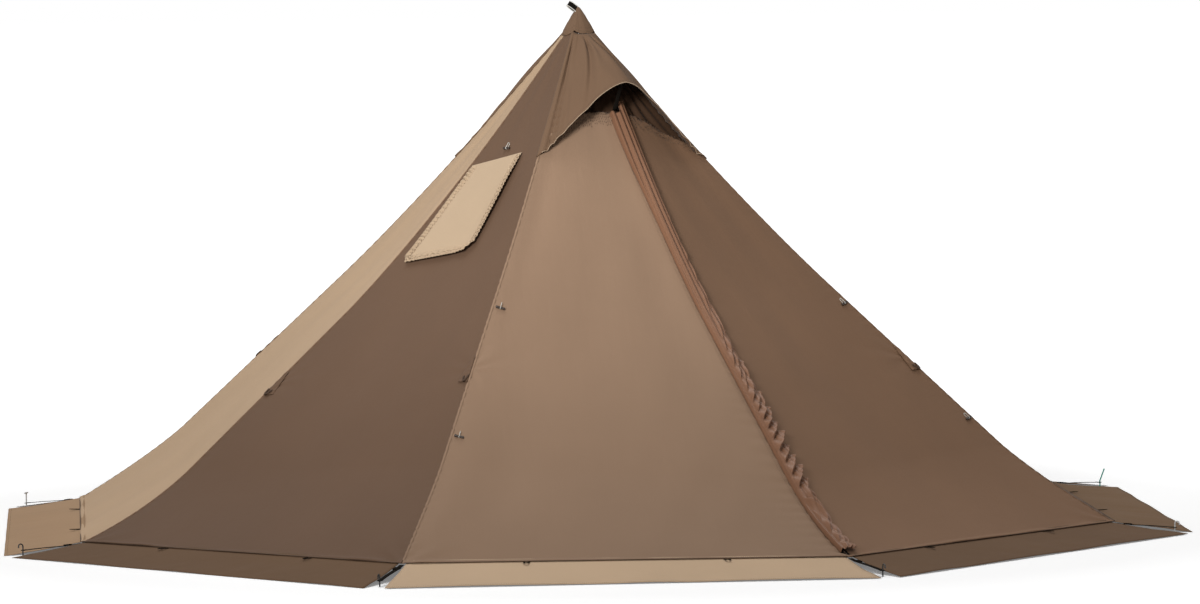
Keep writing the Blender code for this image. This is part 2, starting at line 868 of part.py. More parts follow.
def cap_edge_height():
    """Height of the apex cap's lower edge, just clear of both hoods."""
    inner_edge = (cap_radius - cap_thickness) * math.cos(math.pi / TURNED_STEPS)
    heights = [hood_height_at(ridge, inner_edge) for ridge in (DOOR_RIDGE_NUMBER, REAR_VENT_RIDGE_NUMBER)]
    return max(heights) + cap_clearance


def cap_top_height():
    """Height of the cap's flat top."""
    return cap_edge_height() + cap_height


def apex_cap(name, finish):
    """The sewn cone that closes the top over the panels and hoods."""
    edge = cap_edge_height()
    top = cap_top_height()
    bend_radius = lerp(cap_top_radius, cap_radius, CAP_BEND_SHARES[0])
    bend_height = lerp(top, edge, CAP_BEND_SHARES[1])
    outer = [(0.0, top), (cap_top_radius, top), (bend_radius, bend_height), (cap_radius, edge)]
    inner = [
        (cap_radius - cap_thickness, edge),
        (bend_radius - cap_thickness, bend_height - cap_thickness / 2),
        (cap_top_radius - cap_thickness / 2, top - cap_thickness), (0.0, top - cap_thickness),
    ]
    return turned(name, outer + inner, TURNED_STEPS, Matrix.Identity(4), finish)


def hang_loop(name, finish):
    """The webbing loop on top of the cap, folded over and leaning to the left."""
    half = hang_loop_gap / 2 + hang_loop_thickness
    bend = Vector((0.0, 0.0, cap_top_height() + touch_gap + half))
    lean = Vector((-math.sin(hang_loop_lean), 0.0, math.cos(hang_loop_lean)))
    outer = rounded_loop(hang_loop_length, 2 * half)
    inner = rounded_loop(hang_loop_length - 2 * hang_loop_thickness, hang_loop_gap)
    place = frame_at(bend + lean * (hang_loop_length / 2 - half), lean, Vector((0, 1, 0)))
    return flat_outline(name, outer, hang_loop_width, place, finish, holes=(inner,))


def rounded_loop(length, width):
    """Outline of a loop with round ends."""
    return rounded_box(length, width, width / 2, corner_points=4)


def skirt_place(panel, base_gap):
    """Outer face of a snow skirt: a band sewn on the panel, then a rippled strip down to the ground."""
    face = outward(panel_angle(panel))
    along = sideways(panel_angle(panel))
    width = panel_width(base_radius)
    stand = skirt_thickness + 3 * touch_gap

    def place(across, down):
        if down < small_step:
            reach = base_radius - skirt_band
            inset = skirt_corner_gap / width
            return panel_skin(panel, lerp(inset, 1 - inset, across), reach, stand)
        share = (down - 1 / (SKIRT_ROW_COUNT + 1)) * (SKIRT_ROW_COUNT + 1) / SKIRT_ROW_COUNT
        inset = skirt_corner_gap / width
        across_share = lerp(inset, 1 - inset, across)
        root = panel_skin(panel, across_share, base_radius, stand)
        flare = skirt_width * math.tan(math.pi / CORNER_COUNT) - (skirt_mitre_gap - skirt_corner_gap)
        side = lerp(-flare, flare, across) * share
        wave = 0.5 - 0.5 * math.cos(math.tau * SKIRT_RIPPLES * across)
        ripple = skirt_ripple * wave * smooth(share)
        point = root + face * (skirt_width * share) + along * side
        ground = base_gap + skirt_thickness
        point.z = lerp(root.z, ground, share) + ripple
        return point
    return place


def skirt(name, panel, base_gap, finish):
    """The snow skirt of one panel with its webbing loops."""
    rows = SKIRT_ROW_COUNT + 1
    strip = sheet(name, skirt_place(panel, base_gap), SKIRT_COLUMNS, rows, skirt_thickness, finish)
    loops = [hem_loop(f"{name}_loop_{number}", panel, across, base_gap, finish)
             for number, across in enumerate(HEM_LOOP_SHARES)]
    return sew_on(strip, loops)


def hem_loop(name, panel, across, base_gap, finish):
    """A webbing loop sewn under the hem's band, standing a little off the skirt."""
    place_on = skirt_place(panel, base_gap)
    first = place_on(across, 1 / (SKIRT_ROW_COUNT + 1))
    second = place_on(across, 2 / (SKIRT_ROW_COUNT + 1))
    slope = (second - first).normalized()
    face = slope.cross(sideways(panel_angle(panel)))
    lean = (slope + face * (hem_loop_stand_off / hem_loop_length)).normalized()
    root = first + slope * sewn_overlap - face * sewn_overlap
    centre = root + lean * (hem_loop_length / 2)
    place = frame_at(centre, lean, lean.cross(sideways(panel_angle(panel))))
    outer = rounded_box(hem_loop_length, hem_loop_width, hem_loop_strap)
    inner = rounded_box(hem_loop_length - 2 * hem_loop_strap, hem_loop_width - 2 * hem_loop_strap,
                        hem_loop_strap / 3)
    return flat_outline(name, outer, hem_loop_thickness, place, finish, holes=(inner,))


def stove_across(inset, reach):
    """Across share on the stove panel at a distance from its left ridge."""
    return inset / panel_width(reach)


def flap_insets(reach):
    """Distances of the rain flap's two sides from the panel's left ridge."""
    share = (reach - flap_top_reach) / (flap_foot_reach - flap_top_reach)
    left = lerp(flap_top_left_inset, flap_foot_left_inset, share)
    right = lerp(flap_top_right_inset, flap_foot_right_inset, share)
    return left, right


def jack_spot(across, down, border):
    """Across share and reach on the heat-proof patch, or inside its border; the flap covers all of it."""
    reach = lerp(flap_top_reach + jack_top_drop + border, flap_foot_reach - jack_foot_rise - border, down)
    left, right = flap_insets(reach)
    margin = jack_side_margin + border
    return stove_across(lerp(left + margin, right - margin, across), reach), reach


def stove_jack(name, finish):
    """The heat-proof patch over the stove opening, with its pipe hole."""
    lift = jack_thickness + 2 * touch_gap

    def place(across, down):
        share, reach = jack_spot(across, down, 0.0)
        return facet_skin(STOVE_PANEL, share, reach, lift)
    patch = sheet(name, place, 6, 6, jack_thickness, finish)
    centre = place(0.5, 0.5)
    share, reach = jack_spot(0.5, 0.5, 0.0)
    normal = panel_normal(STOVE_PANEL, share, reach)
    down = place(0.5, 1.0) - place(0.5, 0.0)
    cutter_place = frame_at(centre, down, normal)
    hole = [(x * pipe_hole_length / (2 * pipe_hole_radius), y) for x, y in circle(pipe_hole_radius, 20)]
    cutter = flat_outline("pipe_hole", hole, cut_overrun, cutter_place, None)
    return combine(patch, cutter, "DIFFERENCE")


def stove_opening():
    """The cutter for the opening in the panel, inside the patch's border."""
    def place(across, down):
        share, reach = jack_spot(across, down, jack_border)
        return facet_skin(STOVE_PANEL, share, reach, cut_overrun / 2)
    cutter = sheet("stove_opening", place, 6, 6, cut_overrun, None)
    return cutter


def flap_axis():
    """Both ends of the stove flap's hinge line, along its top edge."""
    left = facet_skin(STOVE_PANEL, stove_across(flap_top_left_inset, flap_top_reach), flap_top_reach,
                      flap_lift + flap_thickness / 2)
    right = facet_skin(STOVE_PANEL, stove_across(flap_top_right_inset, flap_top_reach), flap_top_reach,
                       flap_lift + flap_thickness / 2)
    return left, right


def stove_flap(name, finish):
    """The rain flap over the stove opening, with cut lower corners."""
    def place(across, down):
        reach = lerp(flap_top_reach + flap_thickness, flap_foot_reach, down)
        left, right = flap_insets(reach)
        cut = flap_corner_cut * smooth((down - FLAP_CUT_START_SHARE) / (1 - FLAP_CUT_START_SHARE))
        inset = lerp(left + cut, right - cut, across)
        lift = flap_lift + flap_thickness
        return facet_skin(STOVE_PANEL, stove_across(inset, reach), reach, lift)
    flap = sheet(name, place, 5, 10, flap_thickness, finish)
    set_pivot(flap, flap_axis()[0])
    return flap


def toggle(name, frame, finish):
    """A toggle on its cord loop. Frame: X down the slope, Y sideways, Z out, at the seam."""
    loop_radius = toggle_loop_radius()
    height = toggle_height()
    centre = Matrix.Translation((toggle_cord_drop + loop_radius, 0.0, height))
    half = toggle_length / 2
    waist = toggle_length / 9
    end_radius = toggle_radius * TOGGLE_END_SHARE
    profile = [
        (0.0, half), (end_radius, half), (toggle_radius, half - waist), (toggle_radius, waist),
        (toggle_waist_radius, waist / 2), (toggle_waist_radius, -waist / 2), (toggle_radius, -waist),
        (toggle_radius, waist - half), (end_radius, -half), (0.0, -half),
    ]
    bar_place = centre @ Matrix.Rotation(math.pi / 2, 4, "X")
    bar = turned(name + "_bar", profile, TOGGLE_STEPS, bar_place, finish)
    points = []
    for middle, start in ((loop_radius + toggle_cord_radius, 0.5), (toggle_cord_drop + loop_radius, -0.5)):
        for step in range(TOGGLE_CORD_BENDS):
            angle = math.pi * (start + step / (TOGGLE_CORD_BENDS - 1))
            points.append(Vector((middle + loop_radius * math.cos(angle), 0.0,
                                  height + loop_radius * math.sin(angle))))
    cord = tube(name + "_cord", points, toggle_cord_radius, finish, cyclic=True)
    piece = combine(bar, cord, "UNION")
    piece.name = name
    piece.data.transform(frame)
    set_pivot(piece, toggle_pivot(frame))
    return piece


def toggle_loop_radius():
    """Radius of the cord's turn round the toggle's waist, drawn tight."""
    return toggle_waist_radius + toggle_cord_radius - sewn_overlap


def toggle_height():
    """Height of the cord loop's middle over the cloth: the bar just clears it."""
    return max(toggle_loop_radius() + toggle_cord_radius, toggle_radius) + touch_gap


def toggle_pivot(frame):
    """Point on a toggle's hinge line, through the top of its cord loop."""
    return frame @ Vector((toggle_cord_radius, 0.0, toggle_height()))


def door_toggle_frame(door_ridge, side, reach_share):
    """Place of a door's tie-back toggle, on the surround beside the outer ridge."""
    panel = door_ridge - 1 if side < 0 else door_ridge
    reach = base_radius * reach_share
    inset = toggle_inset / panel_width(reach)
    across = inset if side < 0 else 1 - inset
    return facet_frame(panel, across, reach, door_top_reach())


def stove_toggle_frame():
    """Place of the toggle that holds the stove flap rolled up, over its hinge."""
    reach = flap_top_reach - toggle_cord_drop * 2
    across = stove_across((flap_top_left_inset + flap_top_right_inset) / 2, reach)
    return facet_frame(STOVE_PANEL, across, reach)


def guy_out(name, ridge, side, finish):
    """A reinforcing patch beside a ridge and its webbing loop. Side is the panel that carries it."""
    middle = base_radius * GUY_OUT_REACH_SHARE
    half = guy_out_patch_length / 2

    def place(across, down):
        reach = lerp(middle - half, middle + half, down)
        width = lerp(guy_out_patch_tip_width, guy_out_patch_width, down)
        near, far = sorted((side * guy_out_inset, side * (guy_out_inset + width)))
        lift = guy_out_patch_thickness - sewn_overlap
        return ridge_skin(ridge, lerp(near, far, across), reach, lift, small_step)
    patch = sheet(name + "_patch", place, 2, 2, guy_out_patch_thickness, finish)
    foot = ridge_skin(ridge, side * (guy_out_inset + guy_loop_strap), middle, 0.0, small_step)
    panel = ridge if side > 0 else ridge - 1
    normal = panel_normal(panel, 0.5, middle)
    down = zip_frame(ridge, middle).to_3x3() @ Vector((1, 0, 0))
    centre = foot + normal * (guy_loop_length / 2 - guy_loop_root)
    place_loop = frame_at(centre, normal, down.cross(normal))
    outer = rounded_box(guy_loop_length, guy_loop_width, guy_loop_strap)
    inner = rounded_box(guy_loop_length - 2 * guy_loop_thickness, guy_loop_width - 2 * guy_loop_thickness,
                        guy_loop_strap - guy_loop_thickness)
    loop = flat_outline(name + "_loop", outer, guy_loop_strap, place_loop, finish, holes=(inner,))
    return [patch, loop]


def corner_setback(ridge):
    """How far inside the hem's corner a strap starts: further where the zip opens the seam."""
    if ridge == DOOR_RIDGE_NUMBER:
        return touch_gap + (zip_tape_gap - seam_gap) * math.tan(math.pi / CORNER_COUNT)
    return touch_gap


def strap_frame(ridge):
    """Place at a hem corner: X out and down to the peg, Y sideways, Z up off the strap."""
    angle = ridge_angle(ridge)
    corner = ridge_point(ridge, base_radius) - outward(angle) * corner_setback(ridge)
    corner.z -= cloth_thickness
    peg = outward(angle) * (base_radius + strap_reach)
    peg.z = strap_peg_height
    along = peg - corner
    return frame_at(corner, along, along.cross(sideways(angle)))


def strap_span(ridge):
    """Length from a hem corner to its peg."""
    angle = ridge_angle(ridge)
    corner = ridge_point(ridge, base_radius) - outward(angle) * corner_setback(ridge)
    corner.z -= cloth_thickness
    peg = outward(angle) * (base_radius + strap_reach)
    peg.z = strap_peg_height
    return (peg - corner).length


def weave_points():
    """Distances and heights of the strap through its ladder lock, bar by bar."""
    rise = lock_thickness / 2 + strap_thickness / 2 - sewn_overlap / 2
    half = lock_length / 2
    bar = lock_bar + sewn_overlap
    middle = lock_distance
    return [
        (middle - half - bar, -rise), (middle - half + bar, -rise), (middle - bar / 2, rise),
        (middle + bar / 2, rise), (middle + half - bar, -rise), (middle + half + bar, -rise),
    ]


def corner_strap(name, ridge, finish):
    """Webbing from a hem corner, woven through its ladder lock, to an eye at the peg."""
    frame = strap_frame(ridge)
    end = strap_span(ridge) - eye_length
    path = [(0.0, 0.0), *weave_points(), (lerp(lock_distance, end, STRAP_BEND_SHARE), 0.0), (end, 0.0)]

    def place(across, down):
        distance, height = path[round(down * (len(path) - 1))]
        return frame @ Vector((distance, lerp(-strap_width, strap_width, across) / 2,
                               height + strap_thickness / 2))
    strip = sheet(name, place, 1, len(path) - 1, strap_thickness, finish)
    eye_place = frame @ Matrix.Translation((end - sewn_overlap + eye_length / 2, 0.0, 0.0))
    outer = rounded_box(eye_length, eye_width, eye_width / 3)
    hole = circle(eye_hole_radius, EYE_STEPS, (eye_length / 2 - eye_hole_radius * EYE_PLACE_SHARE, 0.0))
    eye = flat_outline(name + "_eye", outer, eye_thickness, eye_place, finish, holes=(hole,))
    return sew_on(strip, [eye, ladder_lock(name + "_lock", ridge, finish)])


def ladder_lock(name, ridge, finish):
    """A two-slot webbing adjuster."""
    frame = strap_frame(ridge) @ Matrix.Translation((lock_distance, 0.0, 0.0))
    slot = (lock_length - 3 * lock_bar) / 2
    opening = lock_width - 2 * lock_bar
    shift = (slot + lock_bar) / 2
    outer = rounded_box(lock_length, lock_width, lock_bar)
    slots = []
    for sign in (-1, 1):
        slots.append([(x + sign * shift, y) for x, y in rounded_box(slot, opening, lock_bar / 4)])
    return flat_outline(name, outer, lock_thickness, frame, finish, holes=slots)


def peg_place(ridge):
    """Where a peg stands: against the far rim of its strap's eye, which pulls on it."""
    frame = strap_frame(ridge)
    end = strap_span(ridge) - eye_length
    centre = end - sewn_overlap + eye_length - eye_hole_radius * EYE_PLACE_SHARE
    centre += eye_hole_radius - peg_radius - peg_clearance
    return frame @ Vector((centre, 0.0, 0.0))


def tee_peg(name, ridge, finish):
    """The head of a peg with a crossbar, down to the ground."""
    foot = peg_place(ridge)
    half = tee_length / 2
    radius = peg_radius + sewn_overlap
    middle = Vector((foot.x, foot.y, tee_height - radius))
    place = frame_at(middle, outward(ridge_angle(ridge)), sideways(ridge_angle(ridge)))
    profile = [(0.0, half), (radius, half), (radius, -half), (0.0, -half)]
    bar = turned(name, profile, TOGGLE_STEPS, place, finish)
    post = tube(name + "_post", [Vector((foot.x, foot.y, 0.0)), middle], peg_radius, finish)
    return combine(bar, post, "UNION")


def bent_stake(name, ridge, finish):
    """The head of a plain stake that leans away from the tent."""
    foot = peg_place(ridge)
    points = [Vector((foot.x, foot.y, 0.0)), Vector((foot.x, foot.y, stake_bend_height))]
    points.append(Vector((foot.x, foot.y, stake_height)) + outward(ridge_angle(ridge)) * stake_lean)
    return tube(name, points, peg_radius, finish)


def corner_peg(name, ridge, finish):
    """The head of a hooked peg, down to the ground."""
    foot = peg_place(ridge)
    away = outward(ridge_angle(ridge))
    top = peg_height - peg_hook / 2
    points = [Vector((foot.x, foot.y, 0.0)), Vector((foot.x, foot.y, top))]
    for step in range(1, PEG_BENDS + 1):
        angle = math.pi * step / PEG_BENDS
        bend = away * (peg_hook / 2 * (1 - math.cos(angle)))
        points.append(Vector((foot.x, foot.y, top + peg_hook / 2 * math.sin(angle))) + bend)
    last = points[-1].copy()
    last.z -= peg_hook / 3
    points.append(last)
    return tube(name, points, peg_radius, finish)


def pole_section(name, foot, top, spigot, finish):
    """A pole tube with a narrow spigot at its top where another follows."""
    inner = pole_radius - pole_wall
    spigot_outer = inner - pole_fit
    spigot_inner = spigot_outer - pole_wall
    if spigot:
        profile = [
            (spigot_outer, top + spigot_length), (spigot_outer, top + pole_fit),
            (pole_radius, top - pole_fit), (pole_radius, foot), (inner, foot), (inner, top - 2 * pole_wall),
            (spigot_inner, top - pole_fit), (spigot_inner, top + spigot_length),
        ]
    else:
        profile = [(pole_radius, top), (pole_radius, foot), (inner, foot), (inner, top)]
    return turned(name, profile, TURNED_STEPS, Matrix.Identity(4), finish, closed=True)


def pole_foot(name, finish):
    """The rubber foot: a flared cup round the lowest tube."""
    socket = pole_radius + pole_fit
    profile = [
        (0.0, pole_foot_sole), (socket, pole_foot_sole), (socket, pole_foot_height),
        (socket + pole_wall * 2, pole_foot_height), (pole_foot_radius, pole_foot_sole),
        (pole_foot_radius, 0.0), (0.0, 0.0),
    ]
    return turned(name, profile, TURNED_STEPS, Matrix.Identity(4), finish)


def pole_tip(name, finish):
    """The plug that seats the pole under the cap."""
    top = cap_top_height() - cap_thickness - touch_gap
    shoulder = top - pole_tip_length + pole_tip_grip
    grip = pole_radius - pole_wall - pole_fit
    profile = [
        (0.0, top), (pole_tip_nose * TIP_FLAT_SHARE, top), (pole_tip_nose, top - pole_tip_nose),
        (pole_tip_radius, shoulder + pole_wall), (pole_tip_radius, shoulder), (grip, shoulder),
        (grip, shoulder - pole_tip_grip), (0.0, shoulder - pole_tip_grip),
    ]
    return turned(name, profile, TURNED_STEPS, Matrix.Identity(4), finish)


def tip_shoulder_height():
    """Height where the upper tube meets the tip's shoulder."""
    return cap_top_height() - cap_thickness - touch_gap - pole_tip_length + pole_tip_grip


def build_pole():
    """Foot, three tubes and tip, standing on the ground."""
    pole_foot("pole_foot", "rubber")
    pole_section("pole_lower", pole_foot_sole + pole_fit, lower_joint_height, True, "pole_metal")
    pole_section("pole_middle", lower_joint_height + pole_fit, upper_joint_height, True, "pole_metal")
    pole_section("pole_upper", upper_joint_height + pole_fit, tip_shoulder_height() - pole_fit, False,
                 "pole_metal")
    pole_tip("pole_tip", "black_plastic")


def build_door():
    """The door: two leaves that fold back on the panels beside them, with zip and storm flap."""
    for side, word, panel, finish in (
        (-1, "left", FRONT_LEFT_PANEL, "tan_cloth"), (1, "right", FRONT_RIGHT_PANEL, "brown_cloth"),
    ):
        surround = door_surround(f"front_{word}_panel", DOOR_RIDGE_NUMBER, side, finish)
        if side > 0:
            sew_on(surround, guy_out("right_front_guy", DOOR_RIDGE_NUMBER + 1, -1, finish))
        leaf = door_leaf(f"{word}_door", DOOR_RIDGE_NUMBER, side, finish)
        tape = zip_tape(f"{word}_zip_tape", DOOR_RIDGE_NUMBER, side, "black_webbing")
        strip = skirt(f"{word}_door_skirt", panel, door_hem_lift, "light_cloth")
        pivot = pivot_empty(f"{word}_door_hinge", door_fold(DOOR_RIDGE_NUMBER, side)[0])
        hang_on(pivot, [leaf, tape, strip])
        if side < 0:
            hang_on(pivot, [storm_flap("storm_flap", DOOR_RIDGE_NUMBER, finish)])
        for level, share in zip(("upper", "lower"), TOGGLE_REACH_SHARES):
            frame = door_toggle_frame(DOOR_RIDGE_NUMBER, side, share)
            toggle(f"{word}_{level}_toggle", frame, "dark_wood")
    slider = zip_slider("zip_slider", DOOR_RIDGE_NUMBER, "black_plastic")
    set_pivot(slider, ridge_point(DOOR_RIDGE_NUMBER, slider_reach))
    pull = zip_pull("zip_pull", DOOR_RIDGE_NUMBER, "black_plastic")
    set_pivot(pull, pull_pivot(DOOR_RIDGE_NUMBER).translation)


def build_vents():
    """Hood, netting and strut over the door and opposite it."""
    for end, ridge in (("front", DOOR_RIDGE_NUMBER), ("rear", REAR_VENT_RIDGE_NUMBER)):
        vent_hood(f"{end}_vent_hood", ridge, "tan_cloth")
        vent_net(f"{end}_vent_net", ridge, "dark_net")
        vent_strut(f"{end}_vent_strut", ridge, "black_webbing")


def build_sides():
    """The panels without doors, their guy-out patches and their skirts."""
    sides = (
        ("left", LEFT_PANEL, "light_cloth", head_reach, ()),
        ("right", RIGHT_PANEL, "light_cloth", head_reach, ()),
        ("rear_side", REAR_SIDE_PANEL, "brown_cloth", head_reach, ((REAR_SIDE_PANEL, 1),)),
        ("rear_left", REAR_LEFT_PANEL, "tan_cloth", door_top_reach(), ((REAR_LEFT_PANEL, 1),)),
        ("rear_right", REAR_RIGHT_PANEL, "brown_cloth", door_top_reach(), ((LEFT_PANEL, -1),)),
        ("stove", STOVE_PANEL, "brown_cloth", head_reach, ((STOVE_PANEL, 1), (FRONT_LEFT_PANEL, -1))),
    )
    for word, panel, finish, top, patches in sides:
        cloth = plain_panel(f"{word}_panel", panel, finish, top)
        if panel == STOVE_PANEL:
            cloth = combine(cloth, stove_opening(), "DIFFERENCE")
        for ridge, side in patches:
            cloth = sew_on(cloth, guy_out(f"{word}_{ridge}", ridge, side, finish))
        skirt(f"{word}_skirt", panel, 0.0, "light_cloth")


def build_stove_opening():
    """Heat-proof patch, rain flap and the toggle that holds the flap rolled up."""
    stove_jack("stove_jack", "heat_cloth")
    stove_flap("stove_flap", "light_cloth")
    toggle("stove_flap_toggle", stove_toggle_frame(), "dark_wood")


def build_ground_gear():
    """Corner straps with their ladder locks, and pegs."""
    makers = {STAKE_RIDGE_NUMBER: bent_stake, TEE_RIDGE_NUMBER: tee_peg}
    for ridge in range(CORNER_COUNT):
        corner_strap(f"corner_strap_{ridge}", ridge, "black_webbing")
        maker = makers.get(ridge, corner_peg)
        maker(f"corner_peg_{ridge}", ridge, "steel")


def build_top():
    """Cap and hang loop."""
    apex_cap("apex_cap", "brown_cloth")
    hang_loop("hang_loop", "black_webbing")


def shade_all():
    """Smooth shading with sharp edges kept."""
    for item in bpy.data.collections[PARTS_NAME].objects:
        if item.type == "MESH":
            item.data.shade_smooth()
            item.data.set_sharp_from_angle(angle=math.radians(35))


def main():
    clear_scene()
    make_collection(PARTS_NAME)
    build_sides()
    build_door()
    build_vents()
    build_stove_opening()
    build_top()
    build_ground_gear()
    build_pole()
    shade_all()


main()
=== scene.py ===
"""A pitched hot tent: eight cloth panels on one pole, with a zipped ridge door, hooded vents,
a stove-pipe flap, snow skirts and pegged corners.

Metres, +Z up. The pole stands on the origin and the front panel faces -Y.
"""
from __future__ import annotations

import logging
import math
from collections.abc import Callable, Iterator, Sequence
from contextlib import contextmanager
from dataclasses import dataclass
from enum import Enum
from functools import cache
from typing import TypeVar

import bmesh
import bpy
from bpy.types import Material, Mesh, Node, NodeSocket, NodeTree, Object
from mathutils import Matrix, Vector, noise


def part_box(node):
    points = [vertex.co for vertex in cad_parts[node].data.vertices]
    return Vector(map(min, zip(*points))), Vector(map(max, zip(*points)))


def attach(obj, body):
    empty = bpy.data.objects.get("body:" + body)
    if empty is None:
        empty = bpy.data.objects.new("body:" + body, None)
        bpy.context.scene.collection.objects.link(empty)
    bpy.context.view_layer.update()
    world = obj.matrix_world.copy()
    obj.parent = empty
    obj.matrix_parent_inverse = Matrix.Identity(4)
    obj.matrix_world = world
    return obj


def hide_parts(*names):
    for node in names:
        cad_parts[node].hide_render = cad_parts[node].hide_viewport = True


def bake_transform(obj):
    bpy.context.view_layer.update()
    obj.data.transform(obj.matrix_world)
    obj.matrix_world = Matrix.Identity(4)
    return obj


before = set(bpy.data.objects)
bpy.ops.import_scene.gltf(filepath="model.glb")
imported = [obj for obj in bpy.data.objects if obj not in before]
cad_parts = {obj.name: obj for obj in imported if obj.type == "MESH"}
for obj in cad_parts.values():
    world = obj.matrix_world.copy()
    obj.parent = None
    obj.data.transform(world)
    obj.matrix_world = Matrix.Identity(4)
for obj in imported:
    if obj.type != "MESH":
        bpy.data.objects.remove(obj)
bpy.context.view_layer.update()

log = logging.getLogger("hot_tent")

Place = Callable[[float, float], Vector]
Value = TypeVar("Value", float, Vector)


class Body(str, Enum):
    """The moving bodies that cloth and fittings ride on."""

    TENT = "tent"
    LEFT_LEAF = "left_leaf"
    RIGHT_LEAF = "right_leaf"
    STOVE_FLAP = "stove_flap"
    FRONT_STRUT = "front_strut"
    REAR_STRUT = "rear_strut"
    LEFT_UPPER_TOGGLE = "left_upper_toggle"
    LEFT_LOWER_TOGGLE = "left_lower_toggle"
    RIGHT_UPPER_TOGGLE = "right_upper_toggle"
    RIGHT_LOWER_TOGGLE = "right_lower_toggle"
    STOVE_FLAP_TOGGLE = "stove_flap_toggle"


class Slot(str, Enum):
    """The record's material slots."""

    TAN = "tan_cloth"
    BROWN = "brown_cloth"
    LIGHT = "light_cloth"
    NET = "dark_net"
    WEBBING = "black_webbing"
    PLASTIC = "black_plastic"
    WOOD = "dark_wood"
    HEAT = "heat_cloth"


def lerp(low: Value, high: Value, share: float) -> Value:
    """The value or point at a share of the way from low to high."""
    return low + (high - low) * share


def smooth(share: float) -> float:
    """An eased 0 to 1."""
    share = min(max(share, 0.0), 1.0)
    return share * share * (3 - 2 * share)


def hump(distance: float, width: float) -> float:
    """A round bump: 1 at no distance, fading over a width."""
    return math.exp(-(distance / width) ** 2)


def wander(x: float, y: float, z: float) -> float:
    """Soft noise from about -0.5 to 0.5 at a point."""
    return noise.noise(Vector((x, y, z)))


def trace(place: Callable[[float], Vector], steps: int, low: float = 0.0, high: float = 1.0) -> list[Vector]:
    """Points of a place rule at even steps from low to high."""
    return [place(lerp(low, high, step / steps)) for step in range(steps + 1)]


def above(point: Vector, height: float) -> Vector:
    """A point raised by a height."""
    return point + Vector((0, 0, height))


